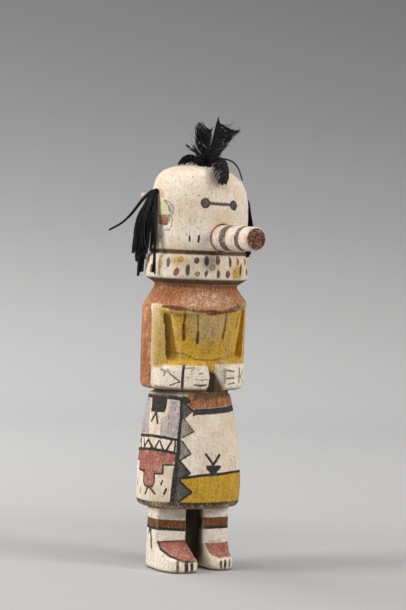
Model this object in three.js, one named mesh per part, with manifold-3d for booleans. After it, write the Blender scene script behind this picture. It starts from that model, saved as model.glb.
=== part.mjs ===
// A carved and painted kachina doll: one body of light root wood, a round snout pegged into the face,
// a small peg at the back of the head, a crest of black feathers and a bunch of black strips at each
// side of the head. Millimetres, +Z up, front towards -Y, the doll's own right side towards -X.
// The origin is on the flat underside, on the body's axis between the feet.
import * as THREE from "three";
import { mergeVertices } from "three/addons/utils/BufferGeometryUtils.js";
import Module from "manifold-3d";

const wasm = await Module();
wasm.setup();

// Driving dimensions of the figure, from the ground up.
const CROWN_HEIGHT = 248.6; // without the feathers
const HEM_HEIGHT = 38.8;
const KILT_TOP = 108.6;
const ELBOW_BOTTOM = 111.4;
const HAND_TOP = 126.8;
const SHOULDER_HEIGHT = 163.4;
const NECK_HEIGHT = 175.5;
const RUFF_BOTTOM = 179.6;
const RUFF_TOP = 193.9;
const HEAD_BOTTOM = 196.4;
const SIDES = 36; // flats round each turned form
const CLEARANCE = 0.3; // between pieces that fit together
const FAR = 200; // longer than anything that a cutter has to pass

// ---------------------------------------------------------------- tools

// A closed mesh as a solid for cutting and joining. Triangles that closed up at an axis are dropped.
function solid(geometry) {
  const bare = geometry.clone();
  bare.deleteAttribute("normal");
  bare.deleteAttribute("uv");
  const merged = mergeVertices(bare, 1e-4);
  const corners = merged.index.array;
  const kept = [];
  for (let i = 0; i < corners.length; i += 3) {
    const [a, b, c] = [corners[i], corners[i + 1], corners[i + 2]];
    if (a !== b && b !== c && c !== a) kept.push(a, b, c);
  }
  return new wasm.Manifold(
    new wasm.Mesh({
      numProp: 3,
      vertProperties: merged.attributes.position.array,
      triVerts: new Uint32Array(kept),
    }),
  );
}

// A solid back as a three.js geometry.
function geometryOf(made) {
  const mesh = made.getMesh();
  const geometry = new THREE.BufferGeometry();
  geometry.setAttribute("position", new THREE.BufferAttribute(mesh.vertProperties, 3));
  geometry.setIndex(new THREE.BufferAttribute(mesh.triVerts, 1));
  const faceted = geometry.toNonIndexed();
  faceted.computeVertexNormals();
  return faceted;
}

const union = (...solids) => solids.reduce((all, next) => all.add(next));

// Moves every vertex of a geometry to where the function puts it.
function reshaped(geometry, place) {
  const at = geometry.getAttribute("position");
  for (let i = 0; i < at.count; i++) {
    at.setXYZ(i, ...place(at.getX(i), at.getY(i), at.getZ(i)));
  }
  return geometry;
}

// A form turned about Z from [height, half width] points, then squared off and flattened: each
// circle becomes a superellipse whose half depth is depthRatio times its half width.
function turned(outline, depthRatio, squareness, sides = SIDES) {
  const profile = outline.map(([height, halfWidth]) => new THREE.Vector2(halfWidth, height));
  const form = new THREE.LatheGeometry(profile, sides).rotateX(Math.PI / 2);
  return reshaped(form, (x, y, z) => {
    const radius = Math.hypot(x, y);
    if (radius < 1e-6) return [0, 0, z];
    const across = Math.abs(x / radius) ** squareness;
    const along = Math.abs(y / radius) ** squareness;
    const stretch = (across + along) ** (-1 / squareness);
    return [x * stretch, y * stretch * depthRatio, z];
  });
}

// [height, half width] points on a smooth curve through the ones given.
function smooth(points, steps) {
  const curve = new THREE.SplineCurve(points.map(([z, w]) => new THREE.Vector2(z, w)));
  return curve.getPoints(steps).map((p) => [p.x, p.y]);
}

const closed = (outline) => [[outline[0][0], 0], ...outline, [outline.at(-1)[0], 0]];

function block(lowX, highX, lowY, highY, lowZ, highZ) {
  const box = new THREE.BoxGeometry(highX - lowX, highY - lowY, highZ - lowZ);
  return box.translate((lowX + highX) / 2, (lowY + highY) / 2, (lowZ + highZ) / 2);
}

// A flat outline of [x, z] points, run straight through the figure from front to back.
function prismAlongY(points, frontY, backY) {
  const shape = new THREE.Shape(points.map(([x, z]) => new THREE.Vector2(x, z)));
  const prism = new THREE.ExtrudeGeometry(shape, { depth: backY - frontY, bevelEnabled: false });
  return prism.rotateX(Math.PI / 2).translate(0, backY, 0);
}

// A plan of [x, y] points, run straight up between two heights.
function prismAlongZ(points, lowZ, highZ) {
  const shape = new THREE.Shape(points.map(([x, y]) => new THREE.Vector2(x, y)));
  const prism = new THREE.ExtrudeGeometry(shape, { depth: highZ - lowZ, bevelEnabled: false });
  return prism.translate(0, 0, lowZ);
}

// ---------------------------------------------------------------- legs and feet

const LEG_BACK = 15;
const LEG_PAIR_HALF_WIDTH = 26.3; // the two legs together round over at the back as one form
const WEB_HALF_DEPTH = 3.5; // wood left between the front and the back slot
const WEB_EDGE = 8;
const LEG_FRONT = 10.5;
const INSTEP_STEPS = 4;
const LEG_SQUARENESS = 9;
const LEG_SIDES = 32; // puts an edge on each corner
const RIGHT_LEG = {
  legX: [-27.6, -5.2],
  footX: [-26.4, -3.6],
  toe: { front: 25.6, rim: 7.4, innerSquareness: 8, outerSquareness: 2.6 },
  instepHeight: 17.5,
  splay: 0.02,
};
const LEFT_LEG = {
  legX: [5.2, 25.4],
  footX: [5.2, 26.2],
  toe: { front: 23, rim: 7.2, innerSquareness: 4, outerSquareness: 1.9 },
  instepHeight: 16.5,
  splay: 0.06,
};

// A leg and its foot in one: the sections are long at the ground, and draw back up the instep.
function leg({ legX, footX, toe, instepHeight, splay }) {
  const levels = [0, 1.4, toe.rim - 1.2, toe.rim];
  for (let i = 1; i <= INSTEP_STEPS; i++) {
    levels.push(THREE.MathUtils.lerp(toe.rim, instepHeight, i / INSTEP_STEPS));
  }
  levels.push(instepHeight + 3, HEM_HEIGHT + 4);
  const form = turned(closed(levels.map((z) => [z, 1])), 1, LEG_SQUARENESS, LEG_SIDES);
  const outward = Math.sign(footX[0] + footX[1]);
  return solid(
    reshaped(form, (x, y, z) => {
      const climb = (z - toe.rim) / (instepHeight - toe.rim);
      const rise = THREE.MathUtils.clamp(climb, 0, 1);
      const broken = z < 1 ? 0.8 : 0; // the edge of the sole is broken
      const worn = Math.abs(z - toe.rim) < 0.1 ? 0.7 : 0; // and so is the upper edge of the toes
      const squareness = x * outward > 0 ? toe.outerSquareness : toe.innerSquareness;
      const roundToe = -((1 - Math.min(1, Math.abs(x)) ** squareness) ** (1 / squareness));
      const along = y < 0 ? THREE.MathUtils.lerp(Math.max(roundToe, y), y, rise) : y;
      const front = THREE.MathUtils.lerp(toe.front - broken - worn, LEG_FRONT, rise ** 0.8);
      const back = LEG_BACK - broken;
      const low = THREE.MathUtils.lerp(footX[0] + broken, legX[0], rise);
      const high = THREE.MathUtils.lerp(footX[1] - broken, legX[1], rise);
      const placed = (back - front) / 2 + (along * (back + front)) / 2;
      const swing = (1 - rise) * splay * outward * Math.max(0, -placed);
      return [(low + high) / 2 + (x * (high - low)) / 2 + swing, placed, z];
    }),
  );
}

function legs() {
  const web = block(-WEB_EDGE, WEB_EDGE, -WEB_HALF_DEPTH, WEB_HALF_DEPTH, 0, HEM_HEIGHT + 4);
  const pair = union(leg(RIGHT_LEG), leg(LEFT_LEG), solid(web));
  const rounded = turned(
    closed([
      [0, LEG_PAIR_HALF_WIDTH - 0.8],
      [1.4, LEG_PAIR_HALF_WIDTH],
      [HEM_HEIGHT + 4, LEG_PAIR_HALF_WIDTH],
    ]),
    LEG_BACK / LEG_PAIR_HALF_WIDTH,
    2.2,
  );
  const front = block(-FAR, FAR, -FAR, 0, 0, FAR);
  return pair.intersect(union(solid(rounded), solid(front)));
}

// ---------------------------------------------------------------- kilt

const KILT_DEPTH_RATIO = 0.8;
const KILT_LEAN = -1.9; // the waist is carved a little towards the doll's right
const KILT_OUTLINE = [
  [HEM_HEIGHT + 2.6, 32.9],
  [50, 33.5],
  [62, 33.1],
  [76, 31.9],
  [90, 29.8],
  [100, 27.8],
  [KILT_TOP - 0.6, 26.1],
];

function kilt() {
  const hem = [
    [HEM_HEIGHT, 30.4],
    [HEM_HEIGHT + 0.9, 32.1],
  ];
  const top = [[KILT_TOP, 25.3]];
  const form = turned(closed([...hem, ...smooth(KILT_OUTLINE, 10), ...top]), KILT_DEPTH_RATIO, 2.15);
  return solid(
    reshaped(form, (x, y, z) => {
      const share = Math.max(0, (z - HEM_HEIGHT) / (KILT_TOP - HEM_HEIGHT));
      return [x + KILT_LEAN * share ** 2, y, z];
    }),
  );
}

// ---------------------------------------------------------------- torso, arms and hands

const TORSO_SHIFT = -1; // the torso stands a little to the doll's right
const ARM_OUTER = 33.4;
const HAND_SLOPE = 0.05; // the left hand is held higher
const SHOULDER_SLOPE = 0.08;
const SHOULDER_DIP = 3.6; // how far the shoulders' edge hangs at the middle of the front
const TORSO_DEPTH_RATIO = 0.75;

// Chest and belly: a tapered trunk that shows between the arms, and the narrow waist under it.
function trunk() {
  const side = smooth(
    [
      [KILT_TOP - 4, 23.6],
      [ELBOW_BOTTOM + 4, 21.4],
      [130, 21.6],
      [145, 24.6],
      [SHOULDER_HEIGHT, 27.6],
    ],
    8,
  );
  return solid(turned(closed(side), 0.93, 2.3));
}

// The shoulders slope, and what is carved under them follows, less and less further down.
function sloped(x, y, z) {
  const share = THREE.MathUtils.clamp((z - HAND_TOP) / (SHOULDER_HEIGHT - HAND_TOP), 0, 1);
  return [x, y, z + share * SHOULDER_SLOPE * x];
}

// Upper arms in one with each other, before the wedges beside the trunk are cut out.
function upperArms() {
  const side = [
    [ELBOW_BOTTOM, ARM_OUTER - 2.6],
    [ELBOW_BOTTOM + 1.2, ARM_OUTER - 0.9],
    [ELBOW_BOTTOM + 4, ARM_OUTER],
    [128, ARM_OUTER + 0.1],
    [150, ARM_OUTER + 0.4],
    [SHOULDER_HEIGHT - 1.2, ARM_OUTER + 0.3],
    [SHOULDER_HEIGHT - 0.6, ARM_OUTER - 0.4],
  ];
  return solid(reshaped(turned(closed(side), 0.6, 2.6), sloped));
}

// The back of the torso is fuller than the front of the arms.
function back() {
  const side = [
    [ELBOW_BOTTOM, 26.4],
    [ELBOW_BOTTOM + 2.4, 28.6],
    [140, 29.6],
    [SHOULDER_HEIGHT, 29.2],
  ];
  const form = solid(reshaped(turned(closed(side), 0.84, 2.3), sloped));
  return form.intersect(solid(block(-FAR, FAR, 0, FAR, 0, FAR)));
}

// The wedge between trunk and arm: narrow at the shoulder, widest above the forearm.
const WEDGE = { floorY: -5, topInner: 25.4, topOuter: 29.2, lowInner: 19, lowOuter: 26.4 };

function armWedge(side) {
  const points = [
    [WEDGE.lowInner, HAND_TOP + 2],
    [WEDGE.lowOuter, HAND_TOP + 2],
    [WEDGE.topOuter, SHOULDER_HEIGHT - 2],
    [WEDGE.topInner, SHOULDER_HEIGHT - 2],
  ].map(([x, z]) => [x * side, z]);
  return solid(prismAlongY(side > 0 ? points : points.reverse(), -FAR, WEDGE.floorY));
}

// A shallow groove down each side of the back parts the arm from the back.
function backGroove(side) {
  const groove = new THREE.CylinderGeometry(1.5, 1.5, SHOULDER_HEIGHT - ELBOW_BOTTOM - 7, 6);
  groove.rotateX(Math.PI / 2).translate(28.4 * side, 14.3, (SHOULDER_HEIGHT + ELBOW_BOTTOM - 9) / 2);
  return solid(groove);
}

// Where the finger tips of the two hands stop short of each other.
const FINGERS = { rightTip: -1.4, leftTip: 3.6, floorY: -18.6, round: 2.6 };

function fingerGap() {
  const { rightTip, leftTip, floorY, round } = FINGERS;
  const low = ELBOW_BOTTOM - 1;
  const high = HAND_TOP + 7;
  const corner = 4.2;
  const between = prismAlongY(
    [
      [rightTip - round, low],
      [leftTip + round, low],
      [leftTip + 0.4, low + corner],
      [leftTip, (low + high) / 2 - 1],
      [leftTip + 0.8, HAND_TOP - 3],
      [leftTip + round, HAND_TOP + 2],
      [leftTip + round, high],
      [rightTip - round * 0.6, high],
      [rightTip - round * 0.8, HAND_TOP],
      [rightTip - 0.5, HAND_TOP - corner],
      [rightTip, (low + high) / 2 - 2],
      [rightTip - 0.6, low + corner],
    ],
    -FAR,
    floorY,
  );
  const endFace = prismAlongZ(
    [
      [leftTip, floorY],
      [leftTip - 2, floorY - 14],
      [leftTip + 9.6, floorY - 14],
      [leftTip + 5.6, floorY - 4.6],
    ],
    low,
    high,
  );
  return union(solid(between), solid(endFace));
}

// Forearms and hands: one band round the belly, parted between the finger tips.
function forearms() {
  const side = [
    [ELBOW_BOTTOM, ARM_OUTER - 3.4],
    [ELBOW_BOTTOM + 1, ARM_OUTER - 1.1],
    [ELBOW_BOTTOM + 3, ARM_OUTER - 0.1],
    [HAND_TOP - 2.5, ARM_OUTER + 0.2],
    [HAND_TOP - 0.3, ARM_OUTER - 0.5],
    [HAND_TOP + 1, ARM_OUTER - 2.4],
    [HAND_TOP + 4.4, ARM_OUTER - 9.4],
  ];
  const band = reshaped(turned(closed(side), TORSO_DEPTH_RATIO, 2.3), (x, y, z) => {
    const share = THREE.MathUtils.clamp((z - ELBOW_BOTTOM) / (HAND_TOP - ELBOW_BOTTOM), 0, 1);
    return [x, y, z + share * HAND_SLOPE * (x + 25)];
  });
  const front = block(-FAR, FAR, -FAR, -2, 0, FAR);
  return solid(band).intersect(solid(front)).subtract(fingerGap());
}

function shoulders() {
  const side = [
    [SHOULDER_HEIGHT - 5, 24],
    [SHOULDER_HEIGHT - 1.4, ARM_OUTER - 1.4],
    [SHOULDER_HEIGHT - 0.4, ARM_OUTER + 0.2],
    [SHOULDER_HEIGHT + 0.8, ARM_OUTER - 0.2],
    [SHOULDER_HEIGHT + 5.5, ARM_OUTER - 3.6],
    [SHOULDER_HEIGHT + 9, 27.6],
    [NECK_HEIGHT - 0.8, 26.1],
    [NECK_HEIGHT + 1, 26],
  ];
  const form = reshaped(turned(closed(side), 0.77, 2.25), (x, y, z) => {
    const fade = THREE.MathUtils.clamp((NECK_HEIGHT - z) / (NECK_HEIGHT - SHOULDER_HEIGHT), 0, 1);
    const towardsFront = Math.max(0, -y / (ARM_OUTER * 0.77)) ** 2;
    return [x, y, z + fade * (SHOULDER_SLOPE * x - SHOULDER_DIP * towardsFront)];
  });
  return solid(form);
}

function torso() {
  const arms = upperArms().subtract(armWedge(1)).subtract(armWedge(-1));
  const bust = union(arms, back(), trunk(), forearms(), shoulders());
  return bust.subtract(backGroove(1)).subtract(backGroove(-1)).translate([TORSO_SHIFT, 0, 0]);
}

// ---------------------------------------------------------------- head and ruff

const HEAD_HALF_WIDTH = 31.5;
const HEAD_SHIFT = -0.5; // the head stands a little to the right of the axis
const HEAD_DEPTH_RATIO = 0.79;
const DOME_START = 216; // above this height the sides round over into the crown
const DOME_SQUARENESS = 3.1;
const DOME_STEPS = 10;
const CROWN_SLOPE = 0.025; // the crown is a little higher at the doll's right
const CROWN_FULLNESS = 0.2; // the crown is rounder at the doll's right
const SNOUT = { x: 2.3, height: 205, rise: 0.8, face: 25, tip: 62.8, baseRadius: 8.1, tipRadius: 7.4 };
const SNOUT_SOCKET = 14; // how far back from the face the snout's peg end goes
const CREST = { x: 0.6, y: -3.5, radius: 4.2, depth: 7 };
const SIDE_PEG = { radius: 2, base: [-24.4, 11.6, 227.4], tip: [-33, 16.8, 229.4] };

function domeHalfWidth(z) {
  const share = Math.max(0, (z - DOME_START) / (CROWN_HEIGHT - DOME_START));
  return HEAD_HALF_WIDTH * (1 - share ** DOME_SQUARENESS) ** (1 / DOME_SQUARENESS);
}

function head() {
  const side = [
    [HEAD_BOTTOM - 5, HEAD_HALF_WIDTH - 3],
    [HEAD_BOTTOM - 1, HEAD_HALF_WIDTH - 2],
    [HEAD_BOTTOM, HEAD_HALF_WIDTH - 0.9],
    [HEAD_BOTTOM + 2, HEAD_HALF_WIDTH - 0.2],
  ];
  for (let i = 0; i <= DOME_STEPS; i++) {
    const z = THREE.MathUtils.lerp(DOME_START, CROWN_HEIGHT, Math.sin((i / DOME_STEPS) * Math.PI / 2));
    side.push([z, domeHalfWidth(z)]);
  }
  const form = turned([[side[0][0], 0], ...side], HEAD_DEPTH_RATIO, 2.15);
  return solid(
    reshaped(form, (x, y, z) => {
      const share = THREE.MathUtils.clamp((z - DOME_START) / (CROWN_HEIGHT - DOME_START), 0, 1);
      const fuller = x < 0 ? 1 + CROWN_FULLNESS * Math.max(0, (share - 0.12) / 0.88) ** 3 : 1;
      return [x * fuller, y, z - share * CROWN_SLOPE * x];
    }),
  );
}

function ruff() {
  const rim = 33.5;
  const side = [
    [NECK_HEIGHT - 2, 25.6],
    [NECK_HEIGHT + 0.2, 26.2],
    [RUFF_BOTTOM - 0.9, rim - 2],
    [RUFF_BOTTOM, rim - 0.5],
    [RUFF_BOTTOM + 2.4, rim],
    [RUFF_TOP - 2.4, rim - 0.7],
    [RUFF_TOP - 0.5, rim - 1.3],
    [RUFF_TOP, rim - 2.4],
    [HEAD_BOTTOM - 1.4, HEAD_HALF_WIDTH - 2.4],
  ];
  return solid(turned(closed(side), 0.785, 2.15));
}

const END = Infinity; // a step of a rod that lies at its far end

// A round form between two points, turned from [distance from the first point, radius] steps. A
// negative distance counts back from the far end.
function rod(from, to, steps, sides) {
  const axis = new THREE.Vector3(...to).sub(new THREE.Vector3(...from));
  const length = axis.length();
  const place = (distance) => Math.min(length, distance < 0 ? length + distance : distance);
  const profile = steps.map(([distance, radius]) => new THREE.Vector2(radius, place(distance)));
  profile.unshift(new THREE.Vector2(0, profile[0].y));
  profile.push(new THREE.Vector2(0, profile.at(-1).y));
  const turn = new THREE.Quaternion().setFromUnitVectors(new THREE.Vector3(0, 1, 0), axis.normalize());
  return solid(new THREE.LatheGeometry(profile, sides).applyQuaternion(turn).translate(...from));
}

// The point that lies the clearance behind the first of two points.
function stepBack(from, to) {
  const start = new THREE.Vector3(...from);
  const backwards = start.clone().sub(new THREE.Vector3(...to)).setLength(CLEARANCE);
  return start.add(backwards).toArray();
}

const SNOUT_SIDES = 28;
const snoutInner = [SNOUT.x, -(SNOUT.face - SNOUT_SOCKET), SNOUT.height];
const snoutOuter = [SNOUT.x, -SNOUT.tip, SNOUT.height + SNOUT.rise];

// The snout tapers a little to a tip whose edge is broken.
function snout() {
  const { baseRadius, tipRadius } = SNOUT;
  const edge = 0.7;
  const steps = [[0, baseRadius], [-edge, tipRadius], [END, tipRadius - edge]];
  return geometryOf(rod(snoutInner, snoutOuter, steps, SNOUT_SIDES));
}

function snoutSocket() {
  const radius = SNOUT.baseRadius + CLEARANCE;
  return rod(stepBack(snoutInner, snoutOuter), snoutOuter, [[0, radius], [END, radius]], SNOUT_SIDES);
}

function sidePeg() {
  const { radius, base, tip } = SIDE_PEG;
  const edge = 0.75;
  const steps = [[0, radius], [-2 * edge, radius], [END, radius - edge]];
  return geometryOf(rod(base, tip, steps, 10));
}

function sidePegSocket() {
  const { base, tip } = SIDE_PEG;
  const radius = SIDE_PEG.radius + CLEARANCE;
  return rod(stepBack(base, tip), tip, [[0, radius], [END, radius]], 10);
}

function crestHole() {
  const { x, y, radius, depth } = CREST;
  const top = [x, y, CROWN_HEIGHT + 2];
  return rod([x, y, CROWN_HEIGHT - depth], top, [[0, radius], [END, radius]], 14);
}

// ---------------------------------------------------------------- body

function bodyGeometry() {
  const crown = union(head(), ruff()).translate([HEAD_SHIFT, 0, 0]);
  const whole = union(legs(), kilt(), torso(), crown);
  return geometryOf(
    whole.subtract(snoutSocket()).subtract(sidePegSocket()).subtract(crestHole()),
  );
}

// ---------------------------------------------------------------- strips and feathers

// A closed strip along a smooth line: each station has a width, a thickness and a direction across.
function strip(points, { width, thickness, across, steps, roll = () => 0 }) {
  const line = new THREE.CatmullRomCurve3(points.map((p) => new THREE.Vector3(...p)));
  const corners = [];
  const faces = [];
  for (let i = 0; i <= steps; i++) {
    const t = i / steps;
    const middle = line.getPointAt(t);
    const along = line.getTangentAt(t);
    const side = new THREE.Vector3(...across);
    side.addScaledVector(along, -side.dot(along)).normalize();
    side.applyAxisAngle(along, roll(t));
    const face = new THREE.Vector3().crossVectors(along, side);
    const [right, left] = width(t, i);
    const half = thickness(t) / 2;
    for (const [s, f] of [[right, half], [-left, half], [-left, -half], [right, -half]]) {
      const corner = middle.clone().addScaledVector(side, s).addScaledVector(face, f);
      corners.push(...corner.toArray());
    }
    for (let k = 0; i < steps && k < 4; k++) {
      const [a, b] = [i * 4 + k, i * 4 + ((k + 1) % 4)];
      faces.push(a, b, a + 4, b, b + 4, a + 4);
    }
  }
  const last = steps * 4;
  faces.push(0, 2, 1, 0, 3, 2, last, last + 1, last + 2, last, last + 2, last + 3);
  const form = new THREE.BufferGeometry();
  form.setAttribute("position", new THREE.BufferAttribute(new Float32Array(corners), 3));
  form.setIndex(faces);
  return geometryOf(solid(form));
}

// ---------------------------------------------------------------- hair

const STRIP_WIDTH = 1.25;
const KNOT_WIDTH = 0.75; // a strip is pinched where it leaves the knot
const STRIP_THICKNESS = 0.7;
const HAIR_LAYER = 1.2; // from one layer of strips to the next, outwards
const HAIR_SPACING = 1.65; // from one strip to the next in a layer, at the knot
const RIGHT_HAIR = {
  name: "hair_right",
  side: -1,
  root: { out: 32.1, back: -0.8, height: 233.8 },
  belly: 3.2,
  tail: 0.2,
  layers: [
    [[-8.6, 181.6], [-3.4, 192], [2.2, 186.4], [8, 183], [14, 191.5]],
    [[-6.4, 190.4], [-0.8, 184.4], [5.2, 188.6], [11.2, 180], [17.6, 187]],
    [[-3, 193.6], [3, 187.4], [9.4, 184.6], [16, 190]],
  ],
};
const LEFT_HAIR = {
  name: "hair_left",
  side: 1,
  root: { out: 31.6, back: -3.4, height: 229.8 },
  belly: 3.8,
  tail: -0.6,
  layers: [
    [[-5.6, 193.6], [-0.6, 196], [4.6, 188.5], [10, 194]],
    [[-4.4, 191], [1.4, 185.6], [7.4, 190.6]],
  ],
};

// A strip of the bunch leaves the knot beside its neighbours, fans out and hangs straight down.
function hairStrip({ side, root, belly, tail }, layer, index, [endBack, endHeight]) {
  const startBack = root.back + HAIR_SPACING * index + layer * 0.5;
  const startHeight = root.height - 0.35 * Math.abs(index - 1) - layer * 0.7;
  const swell = belly + 0.5 * layer;
  const place = (share, drop, away) => [
    side * (root.out + layer * HAIR_LAYER + away),
    THREE.MathUtils.lerp(startBack, endBack, share),
    THREE.MathUtils.lerp(startHeight, endHeight, drop),
  ];
  const points = [
    place(0, 0, 0),
    place(0.4, 0.16, swell * 0.5),
    place(0.86, 0.5, swell),
    place(1, 1, swell + tail),
  ];
  const half = (t) => THREE.MathUtils.lerp(KNOT_WIDTH, STRIP_WIDTH, Math.min(1, t / 0.3)) / 2;
  return strip(points, {
    width: (t) => [half(t), half(t)],
    thickness: () => STRIP_THICKNESS,
    across: [0, 1, 0],
    steps: 7,
  });
}

// One strip of the right bunch has worked loose and stands off to the back.
const LOOSE_STRIP = [
  [-37.2, 13.4, 222.4],
  [-39.4, 16.2, 218],
  [-43.8, 22.4, 211.4],
  [-48.2, 29.6, 207.2],
];

// ---------------------------------------------------------------- crest

const SHAFT = 0.8;
const QUILL_TOP = 0.24; // the share of a feather's length that is bare shaft

// The vane of a feather widens from the bare shaft and ends in a torn tip; teeth stand for barbs.
const vane = ({ right, left, teeth = 0, blunt = 0.35 }) => (t, station) => {
  const bare = THREE.MathUtils.clamp((t - QUILL_TOP) / 0.3, 0, 1);
  const tip = THREE.MathUtils.clamp((1 - t) / blunt, 0.08, 1) ** 0.6;
  const tooth = t > 0.35 && station % 2 ? 1 - teeth : 1;
  const half = SHAFT / 2;
  return [half + right * bare * tip * tooth, half + left * bare * tip];
};

const CREST_FLOOR = CROWN_HEIGHT - CREST.depth + 1;
const FEATHERS = [
  {
    name: "feather_upright_right",
    seat: [-1.5, 1.2],
    line: [[-1.2, 0, 255], [-0.6, 0.4, 263], [-1.8, 0, 275.5]],
    across: [0.82, -0.5, 0.25],
    vane: { right: 5.2, left: 4.6, teeth: 0.45, blunt: 0.3 },
  },
  {
    name: "feather_upright_left",
    seat: [1.6, 0],
    line: [[4, -5, 255], [8.4, -7.6, 265], [13.6, -9.6, 279]],
    across: [0.8, -0.45, -0.4],
    vane: { right: 7.4, left: 4.8, teeth: 0.35, blunt: 0.16 },
  },
  {
    name: "feather_small_right",
    seat: [-2.2, -1.1],
    line: [[-4, -5.6, 252.6], [-8, -7, 256.5], [-13, -8.4, 260.5]],
    across: [0.45, 0.1, 0.9],
    vane: { right: 1.6, left: 1.6, teeth: 0.5 },
  },
  {
    name: "feather_drooping_right",
    seat: [-0.9, 2.9],
    line: [[-3.4, 3.6, 252], [-8, 6.4, 253.4], [-14, 8.6, 250.8]],
    across: [0.1, 0.95, 0.2],
    vane: { right: 2.4, left: 2.8, teeth: 0.4 },
  },
  {
    name: "feather_drooping_front",
    seat: [0.4, -2.6],
    line: [[0.8, -9.6, 254.6], [1.6, -17.8, 252], [2, -24.4, 244], [1.6, -26.6, 236.4]],
    across: [0.95, 0.1, 0.15],
    vane: { right: 2.6, left: 2.2, teeth: 0.4 },
  },
];
const QUILL = {
  name: "feather_long_quill",
  seat: [2.8, -1.2],
  line: [[6.8, -7.6, 253.4], [12.6, -12, 253], [16.8, -14.6, 249], [19.8, -16, 241]],
};

function feather({ seat, line, across, vane: shape }) {
  const [x, y] = [CREST.x + seat[0], CREST.y + seat[1]];
  const points = [[x, y, CREST_FLOOR], [x, y, CROWN_HEIGHT + 0.8], ...line];
  return strip(points, {
    width: vane(shape),
    thickness: (t) => THREE.MathUtils.lerp(SHAFT, 0.35, t),
    across,
    steps: 18,
  });
}

function quill({ seat, line }) {
  const [x, y] = [CREST.x + seat[0], CREST.y + seat[1]];
  return strip([[x, y, CREST_FLOOR], [x, y, CROWN_HEIGHT + 0.8], ...line], {
    width: (t) => [THREE.MathUtils.lerp(0.5, 0.25, t), THREE.MathUtils.lerp(0.5, 0.25, t)],
    thickness: (t) => THREE.MathUtils.lerp(SHAFT, 0.4, t),
    across: [0.5, 0.8, 0],
    steps: 14,
  });
}

// ---------------------------------------------------------------- assembly

const figure = new THREE.Group();
figure.name = "kachina_doll";
const paint = (color, roughness = 0.85) =>
  new THREE.MeshStandardMaterial({ color, roughness, metalness: 0 });
const whitewash = paint(0xe6d9c4);
const bareWood = paint(0xd9c39c);
const black = paint(0x1d1b1c, 0.7);

function piece(name, geometry, material) {
  const mesh = new THREE.Mesh(geometry, material);
  mesh.name = name;
  figure.add(mesh);
}

piece("body", bodyGeometry(), whitewash);
piece("snout", snout(), whitewash);
piece("side_peg", sidePeg(), bareWood);
for (const bunch of [RIGHT_HAIR, LEFT_HAIR]) {
  let number = 0;
  bunch.layers.forEach((ends, layer) => {
    ends.forEach((end, index) => {
      number += 1;
      const name = `${bunch.name}_${String(number).padStart(2, "0")}`;
      piece(name, hairStrip(bunch, layer, index, end), black);
    });
  });
}
piece("hair_right_loose", strip(LOOSE_STRIP, {
  width: () => [STRIP_WIDTH / 2, STRIP_WIDTH / 2],
  thickness: () => STRIP_THICKNESS,
  across: [0, 0, 1],
  steps: 6,
}), black);
for (const one of FEATHERS) piece(one.name, feather(one), black);
piece(QUILL.name, quill(QUILL), black);

export default figure;
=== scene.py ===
import math
import random

import bpy
import numpy as np
from mathutils import Matrix, Vector


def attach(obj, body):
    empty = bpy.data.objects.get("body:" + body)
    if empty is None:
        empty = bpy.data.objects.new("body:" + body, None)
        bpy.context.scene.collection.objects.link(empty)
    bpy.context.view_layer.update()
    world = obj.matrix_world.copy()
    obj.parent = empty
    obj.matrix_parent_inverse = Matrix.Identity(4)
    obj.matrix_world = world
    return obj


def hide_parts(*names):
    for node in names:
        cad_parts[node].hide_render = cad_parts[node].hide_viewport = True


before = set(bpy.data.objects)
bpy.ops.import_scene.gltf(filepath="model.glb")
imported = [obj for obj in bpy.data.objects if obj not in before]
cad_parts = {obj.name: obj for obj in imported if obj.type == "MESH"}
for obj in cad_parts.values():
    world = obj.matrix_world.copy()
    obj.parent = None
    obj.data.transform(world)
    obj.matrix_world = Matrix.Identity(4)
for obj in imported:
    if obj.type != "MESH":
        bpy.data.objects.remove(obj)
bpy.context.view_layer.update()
bpy.ops.object.select_all(action="DESELECT")
MM = 0.001


# ---- The carved figure ------------------------------------------------------------------------
# Head, ruff, body with its arms, kilt and legs are whittled from one length of cottonwood root.
# The knife leaves soft facets and rounded edges. The whole is sized with white clay, then painted
# with earth colours, soot black and a little lilac; the paint has rubbed thin on edges.


def carved_copy(node, name, grid, knife_depth, facet):
    """The solid as whittled wood: its sharp edges softened and its faces a little uneven."""
    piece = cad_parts[node].copy()
    piece.data = piece.data.copy()
    piece.name = piece.data.name = name
    bpy.context.collection.objects.link(piece)
    for key in list(piece.keys()):
        del piece[key]
    piece.parent = None
    piece.data.materials.clear()
    bpy.ops.object.select_all(action="DESELECT")
    piece.select_set(True)
    bpy.context.view_layer.objects.active = piece
    bpy.ops.object.mode_set(mode="EDIT")
    bpy.ops.mesh.select_all(action="SELECT")
    bpy.ops.mesh.remove_doubles(threshold=0.01 * MM)
    bpy.ops.mesh.customdata_custom_splitnormals_clear()
    bpy.ops.object.mode_set(mode="OBJECT")
    whittled = bpy.data.textures.new(name + "_facets", "VORONOI")
    whittled.noise_scale = facet
    whittled.noise_intensity = 1.0
    lumps = bpy.data.textures.new(name + "_lumps", "CLOUDS")
    lumps.noise_scale = facet * 0.6
    for kind, settings in (
        ("REMESH", {"mode": "VOXEL", "voxel_size": grid}),
        ("SMOOTH", {"factor": 0.5, "iterations": 5}),
        ("DISPLACE", {"texture": whittled, "strength": knife_depth, "mid_level": 0.5}),
        ("DISPLACE", {"texture": lumps, "strength": knife_depth, "mid_level": 0.5}),
        ("SMOOTH", {"factor": 0.5, "iterations": 2}),
    ):
        modifier = piece.modifiers.new(kind.lower(), kind)
        for setting, value in settings.items():
            setattr(modifier, setting, value)
        bpy.ops.object.modifier_apply(modifier=modifier.name)
    bpy.ops.object.shade_smooth()
    piece.select_set(False)
    return piece


figure = carved_copy("body", "carved_figure", grid=0.84 * MM, knife_depth=0.32 * MM, facet=9 * MM)


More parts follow.
